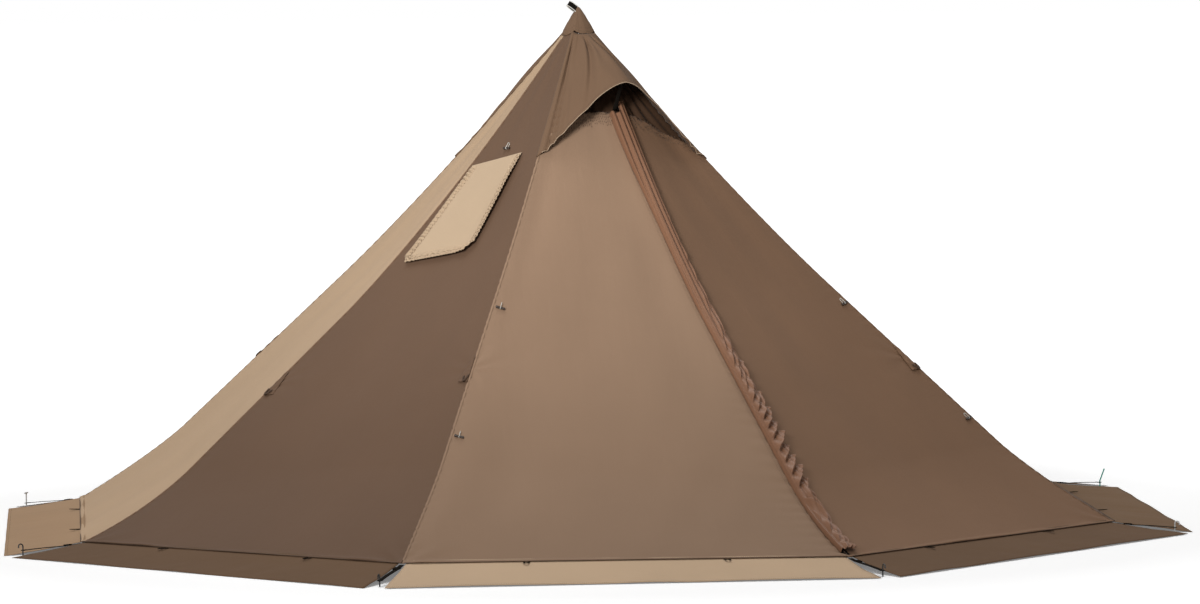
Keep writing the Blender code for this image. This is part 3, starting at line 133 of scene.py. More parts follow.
@dataclass(frozen=True)
class TentForm:
    """The tent's shape: where its ridges, panels, hoods and skirts run."""

    corners: int = 8
    base_radius: float = 2.4
    peak_height: float = 2.25
    first_angle: float = math.radians(-112.5)
    hem_lifts: tuple[float, ...] = (0.062, 0.052, 0.040, 0.038, 0.045, 0.045, 0.052, 0.040)
    ridge_bows: tuple[float, ...] = (0.050, -0.070, 0.010, 0.0, 0.0, 0.0, 0.015, -0.070)
    head_reach: float = 0.07
    panel_sag: float = 0.018
    straight_top: tuple[float, float] = (0.47, 0.4577)
    straight_foot: tuple[float, float] = (0.79, 0.1487)
    crown: float = 0.082
    crown_power: float = 1.73
    flare_power: float = 1.43
    bow_foot: float = 0.62
    door_ridge: int = 1
    rear_ridge: int = 5
    stove_panel: int = 7
    vent_reach: float = 0.352
    guy_reach: float = 1.488
    guy_ridges: tuple[int, ...] = (0, 2, 3, 4, 6, 7)

    def ridge_angle(self, ridge: float) -> float:
        """Direction of a ridge seen from above."""
        return self.first_angle + ridge * math.tau / self.corners

    def outward(self, angle: float) -> Vector:
        """Unit vector away from the pole."""
        return Vector((math.cos(angle), math.sin(angle), 0.0))

    def sideways(self, angle: float) -> Vector:
        """Unit vector against the clock round the tent."""
        return Vector((-math.sin(angle), math.cos(angle), 0.0))

    def height_share(self, share: float) -> float:
        """Height of the ridge line as a share, from its reach as a share.

        Args:
            share: reach as a share of the base's.

        Returns:
            The height as a share of the peak's.
        """
        (top_x, top_z), (foot_x, foot_z) = self.straight_top, self.straight_foot
        slope = (foot_z - top_z) / (foot_x - top_x)
        height = top_z + slope * (share - top_x)
        if share < top_x:
            height += self.crown * ((top_x - share) / top_x) ** self.crown_power
        if share > foot_x:
            last = top_z + slope * (1 - top_x)
            height -= last * ((share - foot_x) / (1 - foot_x)) ** self.flare_power
        return height

    def bow_share(self, share: float) -> float:
        """Share of a ridge's own bow that it has at a reach share.

        Args:
            share: reach as a share of the base's.

        Returns:
            The share of the bow.
        """
        top, foot = self.straight_top[0], self.straight_foot[0]
        if share < top:
            return 1 - (1 - share / top) ** 2
        if share < foot:
            return lerp(1, self.bow_foot, (share - top) / (foot - top))
        return self.bow_foot * (1 - ((share - foot) / (1 - foot)) ** 2)

    def ridge_point(self, ridge: int, reach: float) -> Vector:
        """Point on the outer face of a ridge at a distance from the pole.

        Args:
            ridge: the ridge's number.
            reach: distance from the pole.

        Returns:
            The point.
        """
        lift = self.hem_lifts[ridge % self.corners]
        point = self.outward(self.ridge_angle(ridge)) * reach
        point.z = lift + self.height_share(reach / self.base_radius) * (self.peak_height - lift)
        point.z += self.ridge_bows[ridge % self.corners] * self.bow_share(reach / self.base_radius)
        return point

    def panel_width(self, reach: float) -> float:
        """Straight distance from ridge to ridge."""
        return 2 * reach * math.sin(math.pi / self.corners)

    def panel_point(self, panel: int, across: float, reach: float) -> Vector:
        """Point on a panel's outer face: across runs 0 to 1 from ridge to ridge.

        Args:
            panel: the panel's number.
            across: 0 to 1 across.
            reach: distance from the pole.

        Returns:
            The point.
        """
        point = lerp(self.ridge_point(panel, reach), self.ridge_point(panel + 1, reach), across)
        depth = math.sin(math.pi * (reach - self.head_reach) / (self.base_radius - self.head_reach))
        inward = self.panel_sag * 4 * across * (1 - across) * max(depth, 0.0)
        return point - self.outward(self.ridge_angle(panel + 0.5)) * inward

    def panel_normal(self, panel: int, across: float, reach: float) -> Vector:
        """Unit normal of a panel's outer face.

        Args:
            panel: the panel's number.
            across: 0 to 1 across.
            reach: distance from the pole.

        Returns:
            The normal.
        """
        step = 0.0005
        share = step / self.panel_width(reach)
        side = self.panel_point(panel, across + share, reach) - self.panel_point(panel, across - share, reach)
        down = self.panel_point(panel, across, reach + step) - self.panel_point(panel, across, reach - step)
        return down.cross(side).normalized()

    def skin(self, panel: int, across: float, reach: float, lift: float) -> Vector:
        """Point at a height over a panel."""
        return self.panel_point(panel, across, reach) + self.panel_normal(panel, across, reach) * lift

    def ridge_skin(self, ridge: int, offset: float, reach: float, lift: float, fold: float = 0.016) -> Vector:
        """Point at a height over a ridge, offset to its left (minus) or right (plus) panel.

        Args:
            ridge: the ridge's number.
            offset: distance from the ridge, minus to the left.
            reach: distance from the pole.
            lift: height over the panel.
            fold: half width of the turn.

        Returns:
            The point.
        """
        share = abs(offset) / self.panel_width(reach)
        if offset < 0:
            point = self.panel_point(ridge - 1, 1 - share, reach)
        else:
            point = self.panel_point(ridge, share, reach)
        left = self.panel_normal(ridge - 1, 1 - share, reach)
        right = self.panel_normal(ridge, share, reach)
        turn = smooth(0.5 + offset / (2 * fold))
        return point + lerp(left, right, turn).normalized() * lift

    def vent_edge(self, panel: int, across: float) -> float:
        """Reach of the seam between a vent's netting and the panel below it.

        Args:
            panel: the panel's number.
            across: 0 to 1 across.

        Returns:
            The reach.
        """
        aside = 1 - across if panel in (self.door_ridge - 1, self.rear_ridge - 1) else across
        if panel in (self.door_ridge, self.rear_ridge):
            return self.vent_reach + 0.0005 + 0.19 * aside ** 2.1
        return self.vent_reach + 0.0005 + 0.16 * aside ** 3

    def run(self, reach: float) -> float:
        """Rough length down the slope at a distance from the pole."""
        return reach * 1.37


FORM = TentForm()


class Meshes:
    """Makers of plain meshes from rules."""

    @staticmethod
    def item(name: str, data: bpy.types.ID) -> Object:
        """An object in the scene for a mesh, curve, light or camera.

        Args:
            name: its name.
            data: what it shows.

        Returns:
            The new object.
        """
        thing = bpy.data.objects.new(name, data)
        bpy.context.scene.collection.objects.link(thing)
        return thing

    @staticmethod
    @contextmanager
    def edited(mesh: Mesh) -> Iterator[bmesh.types.BMesh]:
        """A mesh open for editing, written back at the end.

        Args:
            mesh: the mesh.

        Returns:
            The open mesh.
        """
        shape = bmesh.new()
        shape.from_mesh(mesh)
        yield shape
        shape.to_mesh(mesh)
        shape.free()

    @staticmethod
    def baked(thing: Object) -> Mesh:
        """The mesh of an object with its modifiers worked out.

        Args:
            thing: the object.

        Returns:
            The new mesh.
        """
        bpy.context.view_layer.update()
        graph = bpy.context.evaluated_depsgraph_get()
        return bpy.data.meshes.new_from_object(thing.evaluated_get(graph))

    @staticmethod
    def sheet(name: str, place: Place, columns: Sequence[float], rows: Sequence[float],
              thickness: float) -> Object:
        """A cloth sheet with its wall inward and a UV map in metres.

        Args:
            name: the piece's name.
            place: gives the outer face at (across, down).
            columns: across values of the grid.
            rows: down values of the grid.
            thickness: the cloth's thickness.

        Returns:
            The new object.
        """
        mesh = bpy.data.meshes.new(name)
        with Meshes.edited(mesh) as shape:
            layer = shape.loops.layers.uv.new("cloth")
            grid = [[shape.verts.new(place(across, down)) for across in columns] for down in rows]
            widths = [[0.0] for _ in rows]
            for index, line in enumerate(grid):
                for left, right in zip(line, line[1:]):
                    widths[index].append(widths[index][-1] + (right.co - left.co).length)
            middle = len(columns) // 2
            lengths = [0.0]
            for upper, lower in zip(grid, grid[1:]):
                lengths.append(lengths[-1] + (lower[middle].co - upper[middle].co).length)
            for row in range(len(rows) - 1):
                for column in range(len(columns) - 1):
                    corners = ((row, column), (row + 1, column), (row + 1, column + 1), (row, column + 1))
                    face = shape.faces.new([grid[r][c] for r, c in corners])
                    for loop, (r, c) in zip(face.loops, corners):
                        loop[layer].uv = (widths[r][c] - widths[r][-1] / 2, -lengths[r])
        mesh.shade_smooth()
        thing = Meshes.item(name, mesh)
        if thickness:
            Meshes.wall(thing, thickness)
        return thing

    @staticmethod
    def wall(thing: Object, thickness: float) -> None:
        """Give a sheet its wall, inward.

        Args:
            thing: the object.
            thickness: the wall's thickness.
        """
        wall = thing.modifiers.new("wall", "SOLIDIFY")
        wall.thickness = thickness
        wall.offset = -1
        mesh = Meshes.baked(thing)
        thing.modifiers.clear()
        old, thing.data = thing.data, mesh
        bpy.data.meshes.remove(old)

    @staticmethod
    def even(count: int) -> list[float]:
        """Even shares from 0 to 1."""
        return [index / count for index in range(count + 1)]

    @staticmethod
    def crowded(count: int, power: float = 1.8) -> list[float]:
        """Shares from 0 to 1, closer together at both ends.

        Args:
            count: the number of gaps.
            power: how much the ends crowd.

        Returns:
            The shares.
        """
        shares = []
        for index in range(count + 1):
            side = 2 * index / count - 1
            shares.append(0.5 + 0.5 * math.copysign(1 - (1 - abs(side)) ** power, side))
        return shares

    @staticmethod
    def path(name: str, lines: Sequence[Sequence[Vector]], cyclic: bool = False) -> Object:
        """A loose curve object along lines of points.

        Args:
            name: its name.
            lines: lists of points.
            cyclic: whether it closes on itself.

        Returns:
            The new object.
        """
        curve = bpy.data.curves.new(name, "CURVE")
        curve.dimensions = "3D"
        for line in lines:
            spline = curve.splines.new("POLY")
            spline.points.add(len(line) - 1)
            for knot, point in zip(spline.points, line):
                knot.co = (*point, 1.0)
            spline.use_cyclic_u = cyclic
        return Meshes.item(name + "_path", curve)

    @staticmethod
    def settled(name: str, loose: Object) -> Object:
        """A mesh object in place of a loose curve.

        Args:
            name: its name.
            loose: the curve, which goes.

        Returns:
            The new object.
        """
        mesh = Meshes.baked(loose)
        bpy.data.objects.remove(loose, do_unlink=True)
        mesh.shade_smooth()
        return Meshes.item(name, mesh)

    @staticmethod
    def tube(name: str, points: Sequence[Vector], radius: float, cyclic: bool = False) -> Object:
        """A cord or wire along points, as a mesh.

        Args:
            name: its name.
            points: the line it follows.
            radius: half its thickness.
            cyclic: whether it closes on itself.

        Returns:
            The new object.
        """
        loose = Meshes.path(name, [points], cyclic)
        loose.data.bevel_depth = radius
        loose.data.bevel_resolution = 2
        loose.data.use_fill_caps = not cyclic
        thing = Meshes.settled(name, loose)
        with Meshes.edited(thing.data) as shape:
            bmesh.ops.remove_doubles(shape, verts=shape.verts, dist=1e-6)
            bmesh.ops.recalc_face_normals(shape, faces=shape.faces)
        return thing

    @staticmethod
    def turned(name: str, profile: Sequence[tuple[float, float]], steps: int, place: Matrix) -> Object:
        """A turned solid from (radius, height) points.

        Args:
            name: the piece's name.
            profile: points from end to end; a radius of 0 closes an end.
            steps: faces round.
            place: where it stands.

        Returns:
            The new object.
        """
        mesh = bpy.data.meshes.new(name)
        with Meshes.edited(mesh) as shape:
            rings = []
            for radius, height in profile:
                turns = [math.tau * step / steps for step in range(steps)] if radius else [0.0]
                rings.append([shape.verts.new(place @ Vector((radius * math.cos(turn), radius * math.sin(turn),
                                                              height))) for turn in turns])
            for upper, lower in zip(rings, rings[1:]):
                for step in range(steps):
                    after = (step + 1) % steps
                    quad = [upper[step % len(upper)], lower[step % len(lower)], lower[after % len(lower)],
                            upper[after % len(upper)]]
                    unique = list(dict.fromkeys(quad))
                    if len(unique) > 2:
                        shape.faces.new(unique)
            bmesh.ops.recalc_face_normals(shape, faces=shape.faces)
        mesh.shade_smooth()
        return Meshes.item(name, mesh)

    @staticmethod
    def joined(name: str, things: Sequence[Object]) -> Object:
        """One object from several.

        Args:
            name: its name.
            things: the objects, which go.

        Returns:
            The new object.
        """
        mesh = bpy.data.meshes.new(name)
        with Meshes.edited(mesh) as shape:
            for thing in things:
                shape.from_mesh(thing.data)
        for thing in things:
            bpy.data.objects.remove(thing, do_unlink=True)
        mesh.shade_smooth()
        return Meshes.item(name, mesh)


def place_at(origin: Vector, x_axis: Vector, z_axis: Vector) -> Matrix:
    """A right-handed place: X as near x_axis as it can be, Z along z_axis.

    Args:
        origin: where it stands.
        x_axis: wanted X.
        z_axis: exact Z.

    Returns:
        The place.
    """
    z_unit = z_axis.normalized()
    y_unit = z_unit.cross(x_axis).normalized()
    x_unit = y_unit.cross(z_unit)
    return Matrix.Translation(origin) @ Matrix((x_unit, y_unit, z_unit)).transposed().to_4x4()


class Graph:
    """A node tree with short ways to add nodes and link them."""

    def __init__(self, tree: NodeTree) -> None:
        """Work on a tree."""
        self.tree = tree

    def fill(self, node: Node, values: dict) -> Node:
        """Set or link a node's inputs: each value is a number, a colour or a socket.

        Args:
            node: the node.
            values: values or sockets by input.

        Returns:
            The same node.
        """
        for label, value in values.items():
            if isinstance(value, NodeSocket):
                self.tree.links.new(value, node.inputs[label])
            else:
                node.inputs[label].default_value = value
        return node

    def add(self, kind: str, values: dict | None = None, **settings: object) -> bpy.types.bpy_prop_collection:
        """Add a node with its settings and inputs, and return its outputs.

        Args:
            kind: its type.
            values: values or sockets by input.

        Returns:
            The node's outputs.
        """
        node = self.tree.nodes.new(kind)
        for label, value in settings.items():
            setattr(node, label, value)
        return self.fill(node, values or {}).outputs

    def math(self, operation: str, first: object, second: object = None, clamp: bool = False) -> NodeSocket:
        """A Math node's result; first and second are sockets or numbers."""
        values = {index: value for index, value in enumerate((first, second)) if value is not None}
        return self.add("ShaderNodeMath", values, operation=operation, use_clamp=clamp)[0]

    def times(self, first: object, second: object) -> NodeSocket:
        """The product of two."""
        return self.math("MULTIPLY", first, second)

    @staticmethod
    def group(name: str, inputs: dict[str, object], outputs: Sequence[str]) -> tuple[Graph, Node]:
        """An empty shader group and its input node. An input's default tells its kind; None is a vector.

        Args:
            name: the group's name.
            inputs: defaults by input.
            outputs: labels of the outputs.

        Returns:
            The graph and its input node.
        """
        tree = bpy.data.node_groups.new(name, "ShaderNodeTree")
        for label, value in inputs.items():
            kind = {tuple: "NodeSocketColor", float: "NodeSocketFloat"}.get(type(value), "NodeSocketVector")
            socket = tree.interface.new_socket(label, in_out="INPUT", socket_type=kind)
            if value is not None:
                socket.default_value = value
        for label in outputs:
            kind = "NodeSocketColor" if label == "Colour" else "NodeSocketFloat"
            tree.interface.new_socket(label, in_out="OUTPUT", socket_type=kind)
        graph = Graph(tree)
        return graph, graph.add("NodeGroupInput")

    @staticmethod
    def material(name: str) -> tuple[Material, Graph, Node]:
        """A new material, its graph and its Principled shader.

        Args:
            name: the material's name.

        Returns:
            All three.
        """
        material = bpy.data.materials.new(name)
        material.use_nodes = True
        return material, Graph(material.node_tree), material.node_tree.nodes["Principled BSDF"]


class Shading:
    """Node groups shared by the finishes."""

    @staticmethod
    @cache
    def weave() -> NodeTree:
        """Height and tone of a plain weave from a vector in metres.

        Returns:
            The node tree.
        """
        graph, start = Graph.group("plain_weave", {"Vector": None, "Threads": 700.0, "Slub": 0.3}, ("Height", "Tone"))
        parts = graph.add("ShaderNodeSeparateXYZ", {0: start["Vector"]})
        waves = [graph.math("SINE", graph.times(graph.times(parts[axis], start["Threads"]), math.pi))
                 for axis in ("X", "Y")]
        grain = graph.add("ShaderNodeTexNoise", {"Scale": 260.0, "Detail": 3.0, "Vector": start["Vector"]})
        slub = graph.times(grain["Fac"], start["Slub"])
        height = graph.math("ADD", graph.times(graph.times(*waves), 0.5), slub)
        tone = graph.math("ADD", graph.times(slub, 0.5), 0.85)
        graph.add("NodeGroupOutput", {"Height": height, "Tone": tone})
        return graph.tree

    @staticmethod
    @cache
    def creases() -> NodeTree:
        """Height of fine drag lines and crumples, from a vector in metres.

        Returns:
            The node tree.
        """
        graph, start = Graph.group("cloth_creases", {"Vector": None, "Crumple": 1.0, "Drag": 1.0}, ("Height",))
        large = graph.add("ShaderNodeTexNoise", {"Scale": 7.0, "Detail": 4.0, "Distortion": 0.6,
                                                 "Vector": start["Vector"]})
        ridged = graph.math("ABSOLUTE", graph.math("SUBTRACT", large["Fac"], 0.5))
        stretch = graph.add("ShaderNodeMapping", {"Scale": (14.0, 1.6, 1.0), "Vector": start["Vector"]})
        fine = graph.add("ShaderNodeTexNoise", {"Scale": 1.0, "Detail": 3.0, "Vector": stretch["Vector"]})
        height = graph.math("ADD", graph.times(ridged, start["Crumple"]), graph.times(fine["Fac"], start["Drag"]))
        graph.add("NodeGroupOutput", {"Height": height})
        return graph.tree

    @staticmethod
    @cache
    def tones() -> NodeTree:
        """A colour with soft blotches, painted shade that lightens or darkens it with height, and dust near the
        ground.

        Returns:
            The node tree.
        """
        graph, start = Graph.group("cloth_tones", {
            "Colour": (0.5, 0.4, 0.3, 1.0), "Vector": None, "Tone": 1.0, "Blotches": 0.1, "Dust": 0.15,
            "Fade": 0.0}, ("Colour",))
        patches = graph.add("ShaderNodeTexNoise", {"Scale": 2.2, "Detail": 5.0, "Vector": start["Vector"]})
        swing = graph.times(graph.math("SUBTRACT", patches["Fac"], 0.5), start["Blotches"])
        level = graph.times(graph.math("ADD", swing, 1.0), start["Tone"])
        height = graph.add("ShaderNodeSeparateXYZ", {0: start["Vector"]})["Z"]
        # Painted shade: the colour is scaled up or down with height about 1 m, standing in for how light falls over
        # the tent.
        rise = graph.times(graph.math("SUBTRACT", height, 1.0), start["Fade"])
        level = graph.times(level, graph.math("ADD", rise, 1.0))
        shade = graph.add("ShaderNodeVectorMath", {0: start["Colour"], "Scale": level}, operation="SCALE")
        low = graph.math("SUBTRACT", 1.0, graph.math("DIVIDE", height, 0.22), clamp=True)
        dusty = graph.times(graph.times(low, start["Dust"]), patches["Fac"])
        mix = graph.add("ShaderNodeMix", {"Factor": dusty, "A": shade[0], "B": (0.42, 0.36, 0.29, 1.0)},
                        data_type="RGBA")
        graph.add("NodeGroupOutput", {"Colour": mix["Result"]})
        return graph.tree


@dataclass(frozen=True)
class ClothFinish:
    """A woven cloth's look."""

    name: str
    colour: tuple[float, float, float]
    roughness: float = 0.72
    sheen: float = 0.04
    threads: float = 620.0
    weave_depth: float = 0.00016
    crumple_depth: float = 0.003
    blotches: float = 0.16
    dust: float = 0.0
    # Painted shade: how much the colour lightens per metre above 1 m and darkens below it (the other way round when
    # negative), standing in for light falling off over the panel.
    fade: float = 0.0
    gloss: float = 0.12
    on_uv: bool = True

    def make(self) -> Material:
        """The material of this name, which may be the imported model's own, or else a new one.

        Returns:
            The material.
        """
        if self.name in bpy.data.materials:
            return bpy.data.materials[self.name]
        material, graph, shader = Graph.material(self.name)
        where = graph.add("ShaderNodeTexCoord")
        flat = where["UV" if self.on_uv else "Object"]
        weave = graph.add("ShaderNodeGroup", {"Threads": self.threads, "Vector": flat}, node_tree=Shading.weave())
        crease = graph.add("ShaderNodeGroup", {"Vector": flat}, node_tree=Shading.creases())
        tone = graph.add("ShaderNodeGroup", {
            "Colour": (*self.colour, 1.0), "Blotches": self.blotches, "Dust": self.dust, "Fade": self.fade,
            "Vector": where["Object"], "Tone": weave["Tone"]}, node_tree=Shading.tones())
        folds = graph.add("ShaderNodeBump", {
            "Distance": self.crumple_depth, "Strength": 0.6, "Height": crease["Height"]})
        threads = graph.add("ShaderNodeBump", {
            "Distance": self.weave_depth, "Strength": 0.5, "Height": weave["Height"], "Normal": folds["Normal"]})
        graph.fill(shader, {
            "Base Color": tone["Colour"], "Normal": threads["Normal"], "Roughness": self.roughness,
            "Sheen Weight": self.sheen, "Sheen Roughness": 0.45, "Specular IOR Level": self.gloss})
        return material


@dataclass(frozen=True)
class HardFinish:
    """A metal, plastic, wood or rubber look with fine grain."""

    name: str
    colour: tuple[float, float, float]
    roughness: float = 0.45
    metallic: float = 0.0
    grain: float = 180.0
    swing: float = 0.25
    depth: float = 0.0002

    def make(self) -> Material:
        """The material of this name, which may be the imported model's own, or else a new one.

        Returns:
            The material.
        """
        if self.name in bpy.data.materials:
            return bpy.data.materials[self.name]
        material, graph, shader = Graph.material(self.name)
        where = graph.add("ShaderNodeTexCoord")
        noises = graph.add("ShaderNodeTexNoise", {"Scale": self.grain, "Detail": 4.0, "Vector": where["Object"]})
        grain = noises["Fac"]
        level = graph.math("ADD", graph.times(grain, self.swing), 1.0 - self.swing / 2)
        shade = graph.add("ShaderNodeVectorMath", {0: self.colour, "Scale": level}, operation="SCALE")
        bump = graph.add("ShaderNodeBump", {"Distance": self.depth, "Strength": 0.4, "Height": grain})
        graph.fill(shader, {
            "Base Color": shade[0], "Roughness": graph.times(level, self.roughness), "Normal": bump["Normal"],
            "Metallic": self.metallic})
        return material


Finish = ClothFinish | HardFinish


@dataclass(frozen=True)
class Finishes:
    """Every finish on the tent."""

    # The falloff values below are painted shade: panel colours that lighten or darken with height.
    front: ClothFinish = ClothFinish("front_tan_cloth", (0.325, 0.209, 0.135), fade=0.10)
    front_right: ClothFinish = ClothFinish("right_brown_cloth", (0.235, 0.134, 0.078), roughness=0.66, fade=-0.10)
    stove_side: ClothFinish = ClothFinish("left_brown_cloth", (0.150, 0.088, 0.054), roughness=0.70)
    far_left: ClothFinish = ClothFinish("pale_tan_cloth", (0.53, 0.368, 0.232), fade=-0.04)
    flap: ClothFinish = ClothFinish("flap_cloth", (0.525, 0.387, 0.258))
    skirt_light: ClothFinish = ClothFinish("light_skirt_cloth", (0.60, 0.43, 0.28), roughness=0.8)
    skirt_far: ClothFinish = ClothFinish("far_skirt_cloth", (0.436, 0.278, 0.160), roughness=0.8)
    skirt_side: ClothFinish = ClothFinish("side_skirt_cloth", (0.195, 0.113, 0.057), roughness=0.85)
    skirt_dark: ClothFinish = ClothFinish("brown_skirt_cloth", (0.158, 0.091, 0.049), roughness=0.85)
    hood: ClothFinish = ClothFinish("hood_cloth", (0.190, 0.115, 0.070), roughness=0.78, gloss=0.05)
    storm: ClothFinish = ClothFinish("storm_flap_cloth", (0.275, 0.138, 0.078), roughness=0.46, crumple_depth=0.004,
                                     gloss=0.22)
    # Dark brown netting, its colour darkened further as painted shade for the shade under the hood.
    net: ClothFinish = ClothFinish("netting", (0.070, 0.037, 0.020), threads=420.0, weave_depth=0.0006)
    webbing: ClothFinish = ClothFinish("webbing", (0.012, 0.0095, 0.0075), threads=900.0, weave_depth=0.0004,
                                       roughness=0.8, sheen=0.0, gloss=0.03, on_uv=False)
    brown_webbing: ClothFinish = ClothFinish("brown_webbing", (0.085, 0.050, 0.032), threads=900.0,
                                             weave_depth=0.0004, on_uv=False)
    thread: ClothFinish = ClothFinish("thread", (0.30, 0.215, 0.15), roughness=0.6, on_uv=False)
    dark_thread: ClothFinish = ClothFinish("dark_thread", (0.12, 0.078, 0.052), roughness=0.6, on_uv=False)
    # Painted shade: colour of the zigzags that stand in for the shade between the stove flap's puckers.
    pucker_shade: ClothFinish = ClothFinish("tuck_thread", (0.20, 0.135, 0.085), roughness=0.6, on_uv=False)
    rim: ClothFinish = ClothFinish("rim_tape", (0.46, 0.34, 0.235), roughness=0.7, on_uv=False)
    white_cord: ClothFinish = ClothFinish("white_cord", (0.72, 0.70, 0.64), threads=1400.0, on_uv=False)
    heat: ClothFinish = ClothFinish("heat_cloth", (0.22, 0.21, 0.20), roughness=0.5, threads=380.0)
    toggle: HardFinish = HardFinish("toggle_body", (0.045, 0.030, 0.022), roughness=0.38)
    plastic: HardFinish = HardFinish("black_plastic", (0.02, 0.02, 0.021), roughness=0.42)
    steel: HardFinish = HardFinish("peg_steel", (0.05, 0.05, 0.05), roughness=0.4, metallic=0.7)
    white_peg: HardFinish = HardFinish("white_peg", (0.74, 0.74, 0.72), roughness=0.4, swing=0.1)
    teal_peg: HardFinish = HardFinish("teal_peg", (0.02, 0.36, 0.27), roughness=0.35, swing=0.1)
    pole: HardFinish = HardFinish("pole_tube", (0.42, 0.43, 0.44), roughness=0.3, metallic=1.0, swing=0.12)
    rubber: HardFinish = HardFinish("rubber", (0.02, 0.02, 0.02), roughness=0.85)
    teeth: HardFinish = HardFinish("zip_teeth", (0.03, 0.025, 0.022), roughness=0.35)


LOOK = Finishes()


def paint(thing: Object, finish: Finish) -> None:
    """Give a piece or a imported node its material."""
    thing.data.materials.clear()
    thing.data.materials.append(finish.make())


def dress(piece: Object, finish: Finish, slot: Slot, body: Body | DoorFold,
          nodes: Sequence[str] = ()) -> None:
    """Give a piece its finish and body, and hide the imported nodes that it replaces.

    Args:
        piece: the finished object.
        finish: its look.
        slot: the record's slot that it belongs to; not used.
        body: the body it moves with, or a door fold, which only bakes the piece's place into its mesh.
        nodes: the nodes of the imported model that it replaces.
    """
    paint(piece, finish)
    if isinstance(body, DoorFold):
        body.blend(piece)
    else:
        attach(piece, body.value)
    if nodes:
        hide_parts(*nodes)
    log.info("%s: %d faces on %s", piece.name, len(piece.data.polygons), getattr(body, "body", body).value)


@dataclass(frozen=True)
class DoorFold:
    """The line that a door leaf folds back on."""

    side: int
    top_inset: float = 0.045
    foot_inset: float = 0.045
    before: float = 0.03
    after: float = 0.13

    @property
    def panel(self) -> int:
        """The panel that the leaf belongs to."""
        return FORM.door_ridge - 1 if self.side < 0 else FORM.door_ridge

    @property
    def body(self) -> Body:
        """The leaf's body."""
        return Body.LEFT_LEAF if self.side < 0 else Body.RIGHT_LEAF

    def ends(self) -> tuple[Vector, Vector]:
        """Top and foot of the line.

        Returns:
            Both ends.
        """
        top = self.top_inset / FORM.panel_width(FORM.vent_reach)
        foot = self.foot_inset / FORM.panel_width(FORM.base_radius)
        if self.side < 0:
            top, foot = 1 - top, foot
        else:
            foot = 1 - foot
        return (FORM.panel_point(self.panel, top, FORM.vent_reach),
                FORM.panel_point(self.panel, foot, FORM.base_radius))

    def blend(self, piece: Object) -> None:
        """Bake a piece's place into its mesh; the fold line's axis and the side it turns toward are worked out but
        not used.

        Args:
            piece: the cloth.
        """
        top, foot = self.ends()
        axis = (foot - top).normalized()
        face = FORM.panel_normal(self.panel, 0.5, lerp(FORM.vent_reach, FORM.base_radius, 0.5))
        toward = axis.cross(face).normalized()
        if (FORM.ridge_point(FORM.door_ridge, FORM.base_radius) - foot).dot(toward) < 0:
            toward = -toward
        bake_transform(piece)


FOLDS = {0: DoorFold(-1), 1: DoorFold(1)}


def carrier(panel: int) -> Body | DoorFold:
    """What the cloth of a panel moves with."""
    return FOLDS.get(panel, Body.TENT)


@dataclass(frozen=True)
class Stitcher:
    """Rows of thread laid by a Geometry Nodes tree along a path."""

    pitch: float = 0.0075
    length: float = 0.0048
    width: float = 0.0009

    @cache
    def build(self) -> NodeTree:
        """The tree, made once: points along the path, a stitch on each, made real.

        Returns:
            The node tree.
        """
        graph = Graph(bpy.data.node_groups.new("stitch_row", "GeometryNodeTree"))
        face = graph.tree.interface
        face.new_socket("Geometry", in_out="INPUT", socket_type="NodeSocketGeometry")
        for label, value in (("Pitch", self.pitch), ("Length", self.length), ("Width", self.width)):
            face.new_socket(label, in_out="INPUT", socket_type="NodeSocketFloat").default_value = value
        face.new_socket("Thread", in_out="INPUT", socket_type="NodeSocketMaterial")
        face.new_socket("Geometry", in_out="OUTPUT", socket_type="NodeSocketGeometry")
        start = graph.add("NodeGroupInput")
        spread = graph.add("GeometryNodeCurveToPoints", {"Curve": start["Geometry"], "Length": start["Pitch"]},
                           mode="LENGTH")
        stitch = graph.add("GeometryNodeMeshIcoSphere", {"Radius": 0.5, "Subdivisions": 1})
        size = graph.add("ShaderNodeCombineXYZ", {"X": start["Width"], "Y": start["Width"], "Z": start["Length"]})
        place = graph.add("GeometryNodeInstanceOnPoints", {
            "Points": spread["Points"], "Instance": stitch["Mesh"], "Rotation": spread["Rotation"], "Scale": size[0]})
        real = graph.add("GeometryNodeRealizeInstances", {"Geometry": place["Instances"]})
        thread = graph.add("GeometryNodeSetMaterial", {"Geometry": real["Geometry"], "Material": start["Thread"]})
        graph.add("NodeGroupOutput", {"Geometry": thread["Geometry"]})
        return graph.tree

    def sew(self, name: str, paths: Sequence[Sequence[Vector]], finish: Finish, slot: Slot,
            body: Body | DoorFold, **sizes: float) -> None:
        """Lay stitches along every path as one dressed piece.

        Args:
            name: the piece's name.
            paths: lists of points.
            finish: the thread's look.
            slot: the record's slot.
            body: what it moves with.
            sizes: pitch, length and width of a stitch, where they differ from the usual.
        """
        loose = Meshes.path(name, paths)
        rows = loose.modifiers.new("stitches", "NODES")
        rows.node_group = self.build()
        values = {"Pitch": self.pitch, "Length": self.length, "Width": self.width, "Thread": finish.make(),
                  **{label.title(): size for label, size in sizes.items()}}
        for socket in rows.node_group.interface.items_tree:
            if socket.in_out == "INPUT" and socket.name in values:
                rows[socket.identifier] = values[socket.name]
        dress(Meshes.settled(name, loose), finish, slot, body)


STITCHER = Stitcher()


